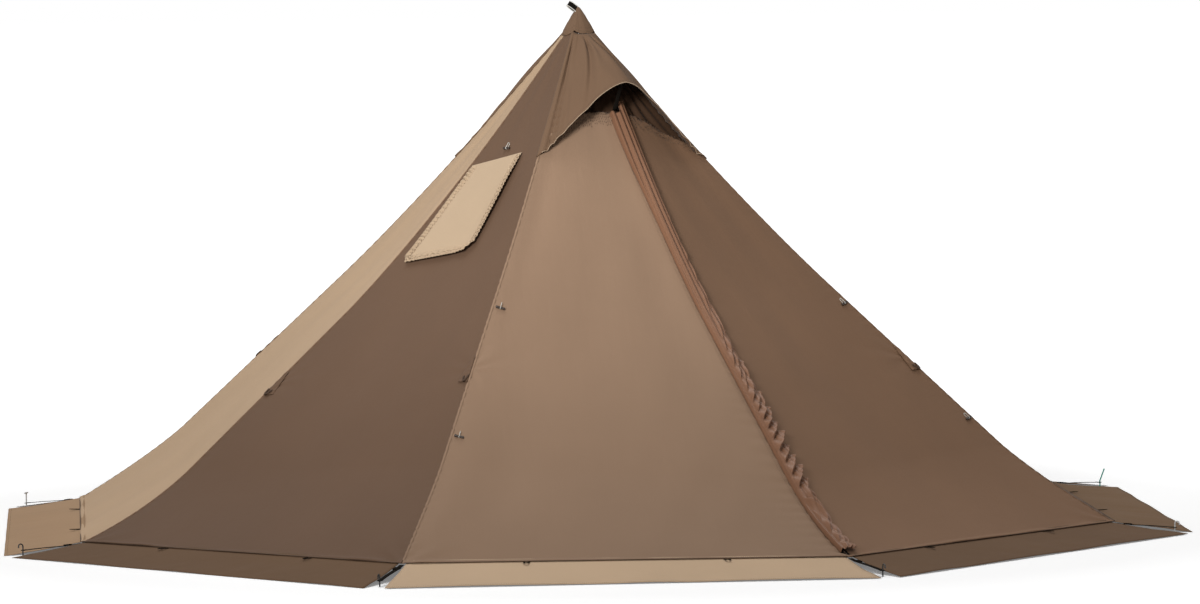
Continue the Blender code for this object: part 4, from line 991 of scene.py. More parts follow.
@dataclass
class PanelCloth:
    """One cloth panel of the tent, with its folds, sewn edges and fabric."""

    panel: int
    name: str
    finish: ClothFinish
    slot: Slot
    nodes: tuple[str, ...]
    top: float = FORM.head_reach
    columns: int = 44
    rows: int = 250
    thickness: float = 0.0012
    seam: float = 0.0006
    tucks: int = 34

    @property
    def vented(self) -> bool:
        """Whether a vent's netting closes the panel's top."""
        return self.top > FORM.head_reach

    def top_at(self, across: float) -> float:
        """Where the cloth starts; under a hood its edge falls away from the vented ridge."""
        return FORM.vent_edge(self.panel, across) if self.vented else self.top

    def relief(self, across: float, reach: float) -> float:
        """Height of folds and puckers over the plain panel.

        Args:
            across: 0 to 1 across.
            reach: distance from the pole.

        Returns:
            The height.
        """
        width = FORM.panel_width(reach)
        run = FORM.run(reach)
        edge = min(across, 1 - across) * width
        fade = smooth(edge / 0.09)
        seed = self.panel * 5.7
        height = 0.009 * wander(across * 4.2 + seed, run * 0.6, 2.0 + seed) * fade
        height += 0.003 * wander(across * width * 7.0 + seed, run * 0.9, 9.0 + seed) * fade
        pucker = math.sin(math.tau * run / 0.055 + 5 * wander(run * 3, seed, across))
        height += 0.0013 * pucker * math.exp(-edge / 0.02) * smooth(edge / 0.006)
        height += self.guy_fan(across, reach, width) + self.corner_fan(across, reach, width)
        if self.vented:
            gather = math.sin(math.tau * across * width / 0.026 + 5 * wander(across * 9, seed, 1.0))
            height += 0.0085 * abs(gather) ** 1.5 * hump(reach - self.top_at(across), 0.042) * smooth(
                edge / 0.02)
        if self.panel == FORM.door_ridge - 1:
            zip_side = (1 - across) * width
            tug = math.sin(math.tau * run / 0.075 + 7 * wander(run * 2, 4.0, 2.0))
            height += 0.0036 * tug * math.exp(-zip_side / 0.05) * smooth(zip_side / 0.02) * smooth(
                (reach - 1.1) / 0.8)
            low = FORM.run(FORM.base_radius - reach)
            leaf = abs(math.sin(3.1 * math.atan2(low, zip_side + 0.01) * 3))
            height += 0.012 * leaf * math.exp(-math.hypot(low, zip_side) / 0.07) * smooth(zip_side / 0.03)
        return height

    def guy_fan(self, across: float, reach: float, width: float) -> float:
        """Wrinkles that fan out of the guy-out points.

        Args:
            across: 0 to 1 across.
            reach: distance from the pole.
            width: the panel's width there.

        Returns:
            The height.
        """
        height = 0.0
        for ridge, side in ((self.panel, across), ((self.panel + 1) % FORM.corners, 1 - across)):
            if ridge in FORM.guy_ridges:
                aside, along = side * width, FORM.run(reach - FORM.guy_reach)
                distance = math.hypot(aside, along)
                if distance < 0.5:
                    turn = math.atan2(along, aside + 0.01)
                    height += 0.0034 * math.cos(turn * 8 + 1.0) * math.exp(-distance / 0.10) * smooth(
                        distance / 0.03) * smooth(aside / 0.02)
        return height

    def corner_fan(self, across: float, reach: float, width: float) -> float:
        """Pleats that fan up from the pegged corners.

        Args:
            across: 0 to 1 across.
            reach: distance from the pole.
            width: the panel's width there.

        Returns:
            The height.
        """
        height = 0.0
        for side in (across, 1 - across):
            aside, along = side * width, FORM.run(FORM.base_radius - reach)
            distance = math.hypot(aside, along)
            if distance < 0.7:
                turn = math.atan2(along, aside + 0.01)
                height += 0.0040 * math.cos(turn * 9) * math.exp(-distance / 0.13) * smooth(distance / 0.05) * smooth(
                    aside / 0.025)
        return height

    def place(self, across: float, down: float) -> Vector:
        """Point on the outer face.

        Args:
            across: 0 to 1 across.
            down: 0 to 1 down.

        Returns:
            The point.
        """
        reach = lerp(self.top_at(across), FORM.base_radius, down)
        trimmed = lerp(self.seam / FORM.panel_width(reach), 1 - self.seam / FORM.panel_width(reach), across)
        hem = 0.0062 * smooth((reach - FORM.base_radius + 0.022) / 0.010)
        return FORM.skin(self.panel, trimmed, reach, self.relief(trimmed, reach) + hem)

    def build(self) -> None:
        """The panel's mesh, finished and fixed to the tent's body; a door panel only has its place baked into its
        mesh.
        """
        cloth = Meshes.sheet(self.name, self.place, Meshes.crowded(self.columns), Meshes.even(self.rows),
                             self.thickness)
        dress(cloth, self.finish, self.slot, carrier(self.panel), self.nodes)
        if self.panel == FORM.stove_panel:
            self.cut_opening(cloth)
        if self.vented:
            self.painted_gather_shade()
        width, length = FORM.panel_width(FORM.base_radius), self.slant()
        narrow = FORM.panel_width(self.top)

    def painted_gather_shade(self) -> None:
        """Dark strokes down the gathered top edge: painted shade in the gathers' folds."""
        paths = []
        for step in range(self.tucks):
            across = lerp(0.03, 0.97, step / (self.tucks - 1)) + 0.01 * wander(step * 1.7, self.panel, 3.0)
            start = self.top_at(across)
            depth = 0.040 + 0.022 * wander(step * 2.3, self.panel, 6.0)
            paths.append([FORM.skin(self.panel, across + 0.004 * index, start + 0.003 + depth * index / 6,
                                    self.relief(across, start + 0.003 + depth * index / 6) + 0.0012)
                          for index in range(7)])
        # Painted shade: dark thread strokes stand in for the shade in the folds of the gathers.
        STITCHER.sew(self.name + "_gathers", paths, LOOK.dark_thread, self.slot, carrier(self.panel), pitch=0.013,
                     length=0.012, width=0.0022)

    def slant(self) -> float:
        """Length of the panel down its middle."""
        points = trace(lambda reach: FORM.panel_point(self.panel, 0.5, reach), 60, self.top, FORM.base_radius)
        return sum((b - a).length for a, b in zip(points, points[1:]))

    def cut_opening(self, cloth: Object) -> None:
        """Open the panel behind the stove patch.

        Args:
            cloth: the finished panel.
        """
        stove = StoveOpening()
        with Meshes.edited(cloth.data) as shape:
            doomed = [face for face in shape.faces if stove.inside(face.calc_center_median())]
            bmesh.ops.delete(shape, geom=doomed, context="FACES")


@dataclass
class SnowSkirt:
    """The skirt of one panel: a sewn band and a strip that lies on the ground."""

    panel: int
    name: str
    finish: ClothFinish
    slot: Slot
    node: str
    lift: float = 0.0
    width: float = 0.325
    band: float = 0.020
    corner_gap: float = 0.017
    mitre_gap: float = 0.048
    ripple: float = 0.003
    ripples: int = 3
    thickness: float = 0.0014
    seat: float = 0.0026
    columns: int = 90
    rows: int = 22

    def place(self, across: float, down: float) -> Vector:
        """Point on the outer face: down is 0 at the band's top, 0.1 at the hem, 1 at the outer edge.

        Args:
            across: 0 to 1 across.
            down: 0 to 1 down.

        Returns:
            The point.
        """
        wide = FORM.panel_width(FORM.base_radius)
        inset = self.corner_gap / wide
        share_across = lerp(inset, 1 - inset, across)
        if down < 0.1:
            reach = FORM.base_radius - self.band * (1 - down * 10)
            return FORM.skin(self.panel, share_across, reach, self.seat)
        share = (down - 0.1) / 0.9
        root = FORM.skin(self.panel, share_across, FORM.base_radius, self.seat)
        angle = FORM.ridge_angle(self.panel + 0.5)
        flare = self.width * math.tan(math.pi / FORM.corners) - (self.mitre_gap - self.corner_gap)
        point = root + FORM.outward(angle) * (self.width * share) + FORM.sideways(angle) * (
            lerp(-flare, flare, across) * share)
        seed = self.panel * 3.1
        wave = 0.5 - 0.5 * math.cos(math.tau * self.ripples * across + 3.0 * wander(across * 3, seed, 0.5))
        fine = 0.5 + wander(across * 22 + seed, share * 3, 1.0)
        lifted = self.ripple * wave * smooth(share) + 0.003 * fine * smooth(share) * smooth((1 - share) / 0.3)
        sag = 0.006 * math.sin(math.pi * share) * (0.6 + wander(across * 6, share, seed))
        point.z = max(lerp(root.z, self.lift + self.thickness, share) + lifted - sag, self.lift + self.thickness)
        return point

    def build(self) -> None:
        """The skirt's mesh, finished."""
        rows = [0.0, 0.05, 0.1] + [0.1 + 0.9 * index / self.rows for index in range(1, self.rows + 1)]
        cloth = Meshes.sheet(self.name, self.place, Meshes.even(self.columns), rows, self.thickness)
        dress(cloth, self.finish, self.slot, carrier(self.panel), (self.node,))
        flat = FORM.panel_width(FORM.base_radius) + 2 * self.width * math.tan(math.pi / FORM.corners)

    def painted_hem_shadow(self) -> Object:
        """A dark cord under the panel's hem: a painted shadow line where the hem overhangs the skirt."""
        path = trace(lambda across: FORM.skin(self.panel, across, FORM.base_radius - 0.001, 0.0072), 80, 0.006, 0.994)
        return Meshes.tube(self.name + "_binding", path, 0.0018)

    def rows_of_thread(self) -> list[list[Vector]]:
        """Paths of the stitches on the band and the outer hem."""
        return [trace(lambda across: above(self.place(across, down), 0.0006), 120) for down in (0.02, 0.085, 0.965)]


@dataclass
class Seams:
    """Felled seams on the ridges and their double rows of thread."""

    half_width: float = 0.0065
    lift: float = 0.0009
    thickness: float = 0.0012
    rows: int = 300
    row_offset: float = 0.0040
    hooded: tuple[int, ...] = (0, 2, 4, 6)

    def strip(self, ridge: int) -> Object:
        """The raised strip of one seam, slightly puckered.

        Args:
            ridge: the ridge's number.

        Returns:
            The new object.
        """
        top = 0.50 if ridge in self.hooded else 0.085

        def place(across: float, down: float) -> Vector:
            """Point on the outer face.

            Args:
                across: 0 to 1 across.
                down: 0 to 1 down.

            Returns:
                The point.
            """
            reach = lerp(top, FORM.base_radius - 0.004, down)
            offset = lerp(-self.half_width, self.half_width, across)
            wave = 0.0006 * math.sin(math.tau * FORM.run(reach) / 0.045 + 5 * wander(reach * 4, ridge, 0.3))
            return FORM.ridge_skin(ridge, offset, reach, self.lift + wave)
        return Meshes.sheet(f"seam_{ridge}", place, Meshes.even(6), Meshes.even(self.rows), self.thickness)

    def paths(self, ridge: int) -> list[list[Vector]]:
        """Both thread rows of one seam.

        Args:
            ridge: the ridge's number.

        Returns:
            The paths.
        """
        top = 0.50 if ridge in self.hooded else 0.09
        return [trace(lambda reach: FORM.ridge_skin(ridge, offset, reach, self.lift + 0.0004), 200, top,
                      FORM.base_radius - 0.01) for offset in (-self.row_offset, self.row_offset)]

    def build(self) -> None:
        """All seams but the zipped one."""
        ridges = [ridge for ridge in range(FORM.corners) if ridge != FORM.door_ridge]
        for ridge in ridges:
            finish, slot = (LOOK.front, Slot.TAN) if ridge in (0, 5) else (LOOK.front_right, Slot.BROWN)
            dress(self.strip(ridge), finish, slot, Body.TENT)
        STITCHER.sew("ridge_thread", [path for ridge in ridges for path in self.paths(ridge)], LOOK.dark_thread,
                     Slot.BROWN, Body.TENT)


@dataclass
class VentHood:
    """A weather hood with its lipped edge, netting and strut."""

    ridge: int
    end: str
    end_reach: float = 0.58
    peak_reach: float = 0.44
    peak_height: float = 1.94
    top_lift: float = 0.0045
    seat_lift: float = 0.0012
    flange: float = 0.011
    billow: float = 0.014
    edge_turn: float = 0.97
    rim_radius: float = 0.0017
    thickness: float = 0.0016
    columns: int = 110
    rows: int = 46

    def lip(self, turn: float) -> Vector:
        """Point on the free edge. Turn runs -1 to 1 from ridge to ridge.

        Args:
            turn: -1 to 1, ridge to ridge.

        Returns:
            The point.
        """
        spread = abs(turn)
        reach = lerp(self.peak_reach, self.end_reach, spread ** 3)
        end = FORM.ridge_point(self.ridge + (1 if turn > 0 else -1), self.end_reach).z
        point = FORM.outward(FORM.ridge_angle(self.ridge + turn)) * reach
        point.z = lerp(self.peak_height, end, spread ** 1.6)
        return point

    def outer(self, turn: float, down: float) -> Vector:
        """Point on the outer face of the hood. Past the ridges it lies on the next panels as a flange.

        Args:
            turn: -1 to 1, ridge to ridge.
            down: 0 to 1 down.

        Returns:
            The point.
        """
        side = 1 if turn > 0 else -1
        if abs(turn) > 1:
            reach = lerp(FORM.head_reach, self.end_reach, down)
            offset = side * self.flange * (abs(turn) - 1) / 0.03
            return FORM.ridge_skin(self.ridge + side, offset, reach, 0.0028)
        direction = FORM.outward(FORM.ridge_angle(self.ridge + turn))
        top = direction * FORM.head_reach
        top.z = FORM.ridge_point(self.ridge, FORM.head_reach).z
        point = lerp(top, self.lip(turn), down)
        seat = abs(turn) ** 5
        free = smooth((1 - abs(turn)) / 0.07)
        on_ridge = FORM.ridge_point(self.ridge + side, math.hypot(point.x, point.y)).z
        point.z = lerp(point.z, on_ridge, seat)
        billow = self.billow * math.sin(math.pi * down) * (1 - turn * turn)
        roll = 0.0038 * smooth((down - 0.955) / 0.025)
        away = (direction + Vector((0, 0, 1))).normalized()
        lift = lerp(self.top_lift, self.seat_lift, seat) + self.thickness + billow
        return point + away * (lift + self.relief(turn, down) * free + roll)

    def relief(self, turn: float, down: float) -> float:
        """Height of the creases: a pinch inside each ridge, two soft valleys, drag lines and lip folds.

        Args:
            turn: -1 to 1, ridge to ridge.
            down: 0 to 1 down.

        Returns:
            The height.
        """
        rise = smooth(down / 0.22)
        aside = abs(turn)
        height = -0.016 * hump(aside - 0.93, 0.017) * rise
        height -= 0.008 * hump(aside - 0.865, 0.012) * rise
        tucks = smooth((aside - 0.82) / 0.05) * smooth((down - 0.5) / 0.2) * smooth((0.97 - down) / 0.1)
        height += 0.005 * tucks * math.sin(down * 95 + aside * 60)
        height += 0.004 * math.sin((aside - 0.8) * 52) * hump(aside - 0.80, 0.09) * smooth(
            (down - 0.45) / 0.4)
        height -= 0.018 * hump(turn + lerp(0.20, 0.50, down), 0.075) * rise * (1 - 0.45 * down)
        height -= 0.014 * hump(turn - lerp(0.16, 0.34, down), 0.12) * rise * (1 - 0.5 * down)
        height += 0.0035 * math.sin(turn * 24 + 4 * wander(turn * 3, down * 2, self.ridge)) * math.sin(
            math.pi * min(down ** 0.8, 1.0))
        return height

    def build(self) -> None:
        """Hood, lip hem, thread, netting and strut."""
        turns = [-1.03, -1.015, *(lerp(-1, 1, share) for share in Meshes.even(self.columns)), 1.015, 1.03]
        hood = Meshes.sheet(f"{self.end}_hood", self.outer, turns, Meshes.even(self.rows), self.thickness)
        dress(hood, LOOK.hood, Slot.TAN, Body.TENT, (f"{self.end}_vent_hood",))
        path = trace(lambda turn: above(self.outer(turn, 0.955), 0.0008), 150, -self.edge_turn, self.edge_turn)
        STITCHER.sew(f"{self.end}_hood_thread", [path], LOOK.dark_thread, Slot.TAN, Body.TENT)
        path = trace(lambda turn: above(self.outer(turn, 1.0), 0.0004), 150, -self.edge_turn, self.edge_turn)
        dress(Meshes.tube(f"{self.end}_hood_rim", path, self.rim_radius), LOOK.rim, Slot.TAN, Body.TENT)
        self.netting()
        self.strut()

    def strut(self) -> None:
        """The strut in its black sleeve, thicker at the foot."""
        spots = sorted((vertex.co.copy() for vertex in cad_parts[f"{self.end}_vent_strut"].data.vertices),
                       key=lambda spot: spot.z)
        foot, head = (sum(some, Vector()) / len(some) for some in (spots[:8], spots[-8:]))
        axis = (head - foot).normalized()
        side = FORM.sideways(FORM.ridge_angle(self.ridge))
        place = place_at(foot + axis * 0.004, side, axis)
        length = (head - foot).length - 0.008
        profile = [(0.0, 0.0), (0.0080, 0.0), (0.0080, 0.012), (0.0068, 0.03), (0.0062, length - 0.01),
                   (0.0072, length), (0.0, length)]
        sleeve = Meshes.turned(f"{self.end}_strut_sleeve", profile, 16, place @ Matrix.Diagonal((1.5, 0.6, 1.0, 1.0)))
        body = Body.FRONT_STRUT if self.end == "front" else Body.REAR_STRUT
        dress(sleeve, LOOK.webbing, Slot.WEBBING, body, (f"{self.end}_vent_strut",))

    def netting(self) -> None:
        """The netting under the hood."""
        def place(across: float, down: float) -> Vector:
            """Point on the outer face.

            Args:
                across: 0 to 1 across.
                down: 0 to 1 down.

            Returns:
                The point.
            """
            panel, share = (self.ridge - 1, across * 2) if across < 0.5 else (self.ridge, across * 2 - 1)
            reach = lerp(FORM.head_reach, FORM.vent_edge(panel, share) - 0.001, down)
            inner = smooth(4 * min(abs(across - 0.5), 0.5 - abs(across - 0.5)))
            pleat = 0.016 * inner * smooth(down / 0.3) * (0.5 + 0.5 * math.sin(
                across * 70 + 5 * wander(across * 6, down * 0.7, self.ridge)))
            return FORM.skin(panel, min(max(share, 0.004), 0.996), reach, -0.002 - pleat)
        net = Meshes.sheet(f"{self.end}_netting", place, Meshes.even(120), Meshes.even(24), 0.0008)
        dress(net, LOOK.net, Slot.NET, Body.TENT, (f"{self.end}_vent_net",))
        wide = FORM.panel_width(FORM.vent_reach) * 2


@dataclass
class StormFlap:
    """The flap over the zip: pleated lengthwise above, gathered and rumpled below."""

    seam_width: float = 0.034
    seam_low: float = 0.016
    width: float = 0.066
    stand_off: float = 0.0180
    top_drop: float = 0.004
    foot_clearance: float = 0.04
    thickness: float = 0.0012
    pleat: float = 0.0245
    rows: int = 620

    def fold(self, offset: float, down: float) -> float:
        """Height share of the overlapped, leaf-shaped folds, 0 to 1.

        Args:
            offset: distance from the ridge, minus to the left.
            down: 0 to 1 down.

        Returns:
            The height share.
        """
        run = FORM.run(lerp(FORM.vent_reach, FORM.base_radius, down))
        slant = lerp(5.5, 1.3, smooth((down - 0.52) / 0.16)) + 2.6 * smooth((down - 0.80) / 0.1)
        pitch = lerp(0.125, 0.078, smooth((down - 0.52) / 0.16)) + 0.03 * smooth((down - 0.80) / 0.1)
        phase = (run - 1.9 + slant * (offset - self.width / 2)) / pitch + 0.9 * wander(run * 2.6, offset * 3, 3.0)
        number = math.floor(phase)
        share = phase - number
        size = 0.40 + 0.60 * abs(math.sin(number * 12.9898) * 1.7 % 1.0)
        return size * min(share ** 1.2, (1 - share) / 0.18)

    def seam(self, down: float) -> float:
        """Distance of the sewn edge from the ridge."""
        narrowing = smooth((down - 0.02) / 0.22)
        return lerp(self.seam_width, self.seam_low, narrowing) + 0.006 * smooth((down - 0.75) / 0.2)

    def lift(self, offset: float, down: float) -> float:
        """Height over the panels: lengthwise pleats, then slanted folds that grow into puffs.

        Args:
            offset: distance from the ridge, minus to the left.
            down: 0 to 1 down.

        Returns:
            The height.
        """
        run = FORM.run(lerp(FORM.vent_reach, FORM.base_radius, down))
        height = lerp(0.0026, self.stand_off, smooth((offset + self.seam(down)) / 0.007))
        height = lerp(height, 0.0055, smooth((offset - 0.012) / (self.width - 0.012)))
        drift = 0.006 * wander(run * 1.7, 5.0, 1.0)
        turn = (offset + self.seam_width + drift) / self.pleat
        pillow = 1 - abs(2 * (turn - math.floor(turn)) - 1) ** 1.7
        height += 0.0135 * pillow * smooth((offset + self.seam(down)) / 0.006) * (1 - 0.40 * self.gathered(down))
        start = lerp(0.036, -0.010, smooth((down - 0.22) / 0.30))
        inner = smooth((offset - start) / 0.022)
        size = lerp(0.020, 0.040, smooth((down - 0.45) / 0.2)) - 0.016 * smooth((down - 0.82) / 0.1)
        rumple = 0.0012 * wander(run * 30, offset * 40, 2.0)
        return height + self.gathered(down) * inner * (size * self.fold(offset, down) + rumple)

    def gathered(self, down: float) -> float:
        """How far the flap is gathered, 0 to 1, from top to foot."""
        return smooth((down - 0.10) / 0.34)

    def place(self, across: float, down: float) -> Vector:
        """Point on the outer face.

        Args:
            across: 0 to 1 across.
            down: 0 to 1 down.

        Returns:
            The point.
        """
        reach = lerp(FORM.vent_reach + self.top_drop, FORM.base_radius - self.foot_clearance, down)
        strength = self.gathered(down)
        bulge = 0.022 * strength * smooth((down - 0.4) / 0.2) * (self.fold(self.width, down) - 0.35)
        edge = self.width + bulge + 0.005 * wander(down * 14, 2.0, 4.0) - 0.006 * (1 - strength)
        offset = lerp(-self.seam(down), edge, across)
        slip = 0.008 * strength * wander(down * 40, across * 2, 8.0) * across
        reach = min(reach + slip, FORM.base_radius - 0.02)
        reach -= 0.036 * smooth((offset - 0.004) / 0.012) * smooth((0.02 - down) / 0.02)
        return FORM.ridge_skin(FORM.door_ridge, offset, reach, self.lift(offset, down), self.width / 2)

    def build(self) -> None:
        """The flap and its seam's thread."""
        flap = Meshes.sheet("gathered_storm_flap", self.place, Meshes.even(40), Meshes.even(self.rows),
                            self.thickness)
        dress(flap, LOOK.storm, Slot.TAN, Body.LEFT_LEAF, ("storm_flap",))
        paths = [trace(lambda reach: FORM.ridge_skin(FORM.door_ridge, offset, reach, 0.0032, 0.03), 260, 0.40, 2.34)
                 for offset in (-0.0305, -0.0225)]
        top = FORM.vent_reach + 0.02
        paths += [trace(lambda down: FORM.ridge_skin(FORM.door_ridge, offset, lerp(top, 2.30, down),
                                                     self.lift(offset, down) + 0.0014, self.width / 2), 260)
                  for offset in (-0.010, -0.003)]
        STITCHER.sew("storm_flap_thread", paths, LOOK.dark_thread, Slot.TAN, Body.LEFT_LEAF)


@dataclass
class Zip:
    """Both tapes and their teeth, with slider and pull."""

    gap: float = 0.0026
    width: float = 0.013
    pitch: float = 0.0034

    def tape(self, side: int) -> None:
        """One half of the zip on its leaf.

        Args:
            side: -1 for left, 1 for right.
        """
        fold = FOLDS[0 if side < 0 else 1]
        word = "left" if side < 0 else "right"

        def place(across: float, down: float) -> Vector:
            """Point on the outer face.

            Args:
                across: 0 to 1 across.
                down: 0 to 1 down.

            Returns:
                The point.
            """
            reach = lerp(FORM.vent_reach + 0.002, FORM.base_radius - 0.002, down)
            near, far = sorted((side * self.gap, side * (self.gap + self.width)))
            return FORM.ridge_skin(FORM.door_ridge, lerp(near, far, across), reach, 0.0016)
        tape = Meshes.sheet(f"{word}_zip_tape_cloth", place, Meshes.even(3), Meshes.even(160), 0.001)
        dress(tape, LOOK.webbing, Slot.WEBBING, fold.body, (f"{word}_zip_tape",))
        path = trace(lambda reach: FORM.ridge_skin(FORM.door_ridge, side * 0.0028, reach, 0.0012), 200, 0.36, 2.39)
        STITCHER.sew(f"{word}_zip_teeth", [path], LOOK.teeth, Slot.PLASTIC, fold.body, pitch=self.pitch,
                     length=0.0018, width=0.0030)

    def build(self) -> None:
        """Both halves and the CAD slider and pull with their finish."""
        self.tape(-1)
        self.tape(1)
        for node in ("zip_slider", "zip_pull"):
            paint(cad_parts[node], LOOK.plastic)


@dataclass
class StoveOpening:
    """The heat-proof patch, its pipe hole and the rain flap over it."""

    top_drop: float = 0.065
    foot_rise: float = 0.060
    margin: float = 0.030
    border: float = 0.025
    flap_top: float = 0.54
    flap_foot: float = 0.945
    top_left: float = 0.025
    top_right: float = 0.305
    foot_left: float = 0.070
    foot_right: float = 0.480
    corner_cut: float = 0.034
    hem: float = 0.030
    length: float = 0.55
    hole: tuple[float, float] = (0.075, 0.055)
    thickness: float = 0.0016

    def inside(self, point: Vector) -> bool:
        """Whether a point of the panel lies in the opening.

        Args:
            point: the point.

        Returns:
            True inside it.
        """
        reach = self.reach_of(point)
        top, foot = self.flap_top + self.top_drop + self.border, self.flap_foot - self.foot_rise - self.border
        if not top < reach < foot:
            return False
        inset = (point - FORM.ridge_point(FORM.stove_panel, reach)).length
        left, right = self.sides(reach)
        return left + self.margin + self.border < inset < right - self.margin - self.border

    def sides(self, reach: float) -> tuple[float, float]:
        """Distances of the flap's two sides from the panel's left ridge."""
        share = (reach - self.flap_top) / (self.flap_foot - self.flap_top)
        return lerp(self.top_left, self.foot_left, share), lerp(self.top_right, self.foot_right, share)

    def reach_of(self, point: Vector) -> float:
        """Distance from the pole, measured on the ridges, of a point on the panel."""
        face = FORM.outward(FORM.ridge_angle(FORM.stove_panel + 0.5))
        return point.dot(face) / math.cos(math.pi / FORM.corners)

    def flap_place(self, across: float, down: float) -> Vector:
        """Point on the flap's outer face, with puckered sewn edges.

        Args:
            across: 0 to 1 across.
            down: 0 to 1 down.

        Returns:
            The point.
        """
        reach = lerp(self.flap_top + 0.005, self.flap_foot, down)
        left, right = self.sides(reach)
        cut = self.corner_cut * smooth((down - 0.9) / 0.1)
        inset = lerp(left + cut, right - cut, across)
        width = right - left
        side = min(across * width, (1 - across) * width)
        low = (1 - down) * self.length
        edge = min(side, low)
        run = FORM.run(reach)
        along = run if side < low else across * width
        wave = math.sin(math.tau * along / 0.038 + 4 * wander(run * 9, across * 4, 2.0))
        band = self.hem * (1.0 if side < low else 1.5)
        pucker = 0.0100 * abs(wave) ** 1.5 * hump(edge - band * 0.5, band * 0.5)
        dip = -0.0035 * hump(edge - band, 0.006)
        slack = 0.006 * math.sin(math.pi * across) * math.sin(math.pi * min(down, 1.0))
        rumple = 0.002 * wander(across * 3, down * 4, 6.0) * smooth(edge / 0.05)
        proud = 0.008 * smooth((across - 0.8) / 0.2) * smooth(down / 0.3) + 0.006 * smooth((down - 0.85) / 0.15)
        return FORM.skin(FORM.stove_panel, inset / FORM.panel_width(reach), reach,
                         0.0085 + (pucker + dip + slack + rumple + proud) * smooth(down / 0.04))

    def patch_place(self, across: float, down: float) -> Vector:
        """Point on the heat-proof patch's outer face.

        Args:
            across: 0 to 1 across.
            down: 0 to 1 down.

        Returns:
            The point.
        """
        reach = lerp(self.flap_top + self.top_drop, self.flap_foot - self.foot_rise, down)
        left, right = self.sides(reach)
        inset = lerp(left + self.margin, right - self.margin, across)
        return FORM.skin(FORM.stove_panel, inset / FORM.panel_width(reach), reach, 0.0034)

    def build(self) -> None:
        """Patch, flap and thread."""
        flap = Meshes.sheet("stove_flap_cloth", self.flap_place, Meshes.crowded(90, 1.3), Meshes.even(170),
                            self.thickness)
        dress(flap, LOOK.flap, Slot.LIGHT, Body.STOVE_FLAP, ("stove_flap",))
        outer, inner = self.thread_rows(0.006), self.thread_rows(self.hem)
        slot, body = Slot.LIGHT, Body.STOVE_FLAP
        STITCHER.sew("stove_flap_thread", outer, LOOK.dark_thread, slot, body, pitch=0.016)
        # Painted shade: dark zigzag stitches stand in for the shade between the hem puckers.
        STITCHER.sew("stove_flap_pucker_shade", self.zigzags(), LOOK.pucker_shade, slot, body, pitch=0.011, length=0.010,
                     width=0.0020)
        STITCHER.sew("stove_flap_hem_thread", inner, LOOK.thread, slot, body, pitch=0.010)
        self.patch()

    def thread_rows(self, inset: float) -> list[list[Vector]]:
        """Left, right and foot rows of thread at a distance from the flap's edges.

        Args:
            inset: distance from the flap's edge.

        Returns:
            The paths.
        """
        def side(mirrored: bool) -> Callable[[float], Vector]:
            """A place rule for one side's row.

            Args:
                mirrored: whether it is the right side.

            Returns:
                The rule.
            """
            def place(down: float) -> Vector:
                """Point on the outer face."""
                share = inset / lerp(self.top_right - self.top_left, self.foot_right - self.foot_left, down)
                return above(self.flap_place(1 - share if mirrored else share, down), 0.0009)
            return place
        foot = trace(lambda across: above(self.flap_place(across, 1 - inset / self.length), 0.0009), 89, 0.03, 0.97)
        return [trace(side(False), 89, 0.02, 0.955), trace(side(True), 89, 0.02, 0.955), foot]

    def zigzags(self) -> list[list[Vector]]:
        """Dark zigzags across the left, right and foot hems: painted shade in the gaps between the puckers.

        Returns:
            The paths.
        """
        top, foot = self.top_right - self.top_left, self.foot_right - self.foot_left
        left = [self.flap_place(lerp(0.006, self.hem * 0.85, step % 2) / top, lerp(0.03, 0.95, step / 90))
                for step in range(91)]
        right = [self.flap_place(1 - lerp(0.003, 0.013, step % 2) / foot, lerp(0.03, 0.93, step / 100))
                 for step in range(101)]
        low = [self.flap_place(lerp(0.04, 0.95, step / 60), 1 - lerp(0.008, 0.020, step % 2) / self.length)
               for step in range(61)]
        return [[above(point, 0.0012) for point in path] for path in (left, right, low)]

    def patch(self) -> None:
        """The heat-proof patch with its oval pipe hole."""
        patch = Meshes.sheet("heat_patch", self.patch_place, Meshes.even(60), Meshes.even(60), 0.0)
        middle = self.patch_place(0.5, 0.5)
        down = (self.patch_place(0.5, 1.0) - self.patch_place(0.5, 0.0)).normalized()
        side = (self.patch_place(1.0, 0.5) - self.patch_place(0.0, 0.5)).normalized()
        with Meshes.edited(patch.data) as shape:
            doomed = []
            for face in shape.faces:
                from_middle = face.calc_center_median() - middle
                if math.hypot(from_middle.dot(down) / self.hole[0], from_middle.dot(side) / self.hole[1]) < 1:
                    doomed.append(face)
            bmesh.ops.delete(shape, geom=doomed, context="FACES")
        Meshes.wall(patch, 0.0012)
        dress(patch, LOOK.heat, Slot.HEAT, Body.TENT, ("stove_jack",))


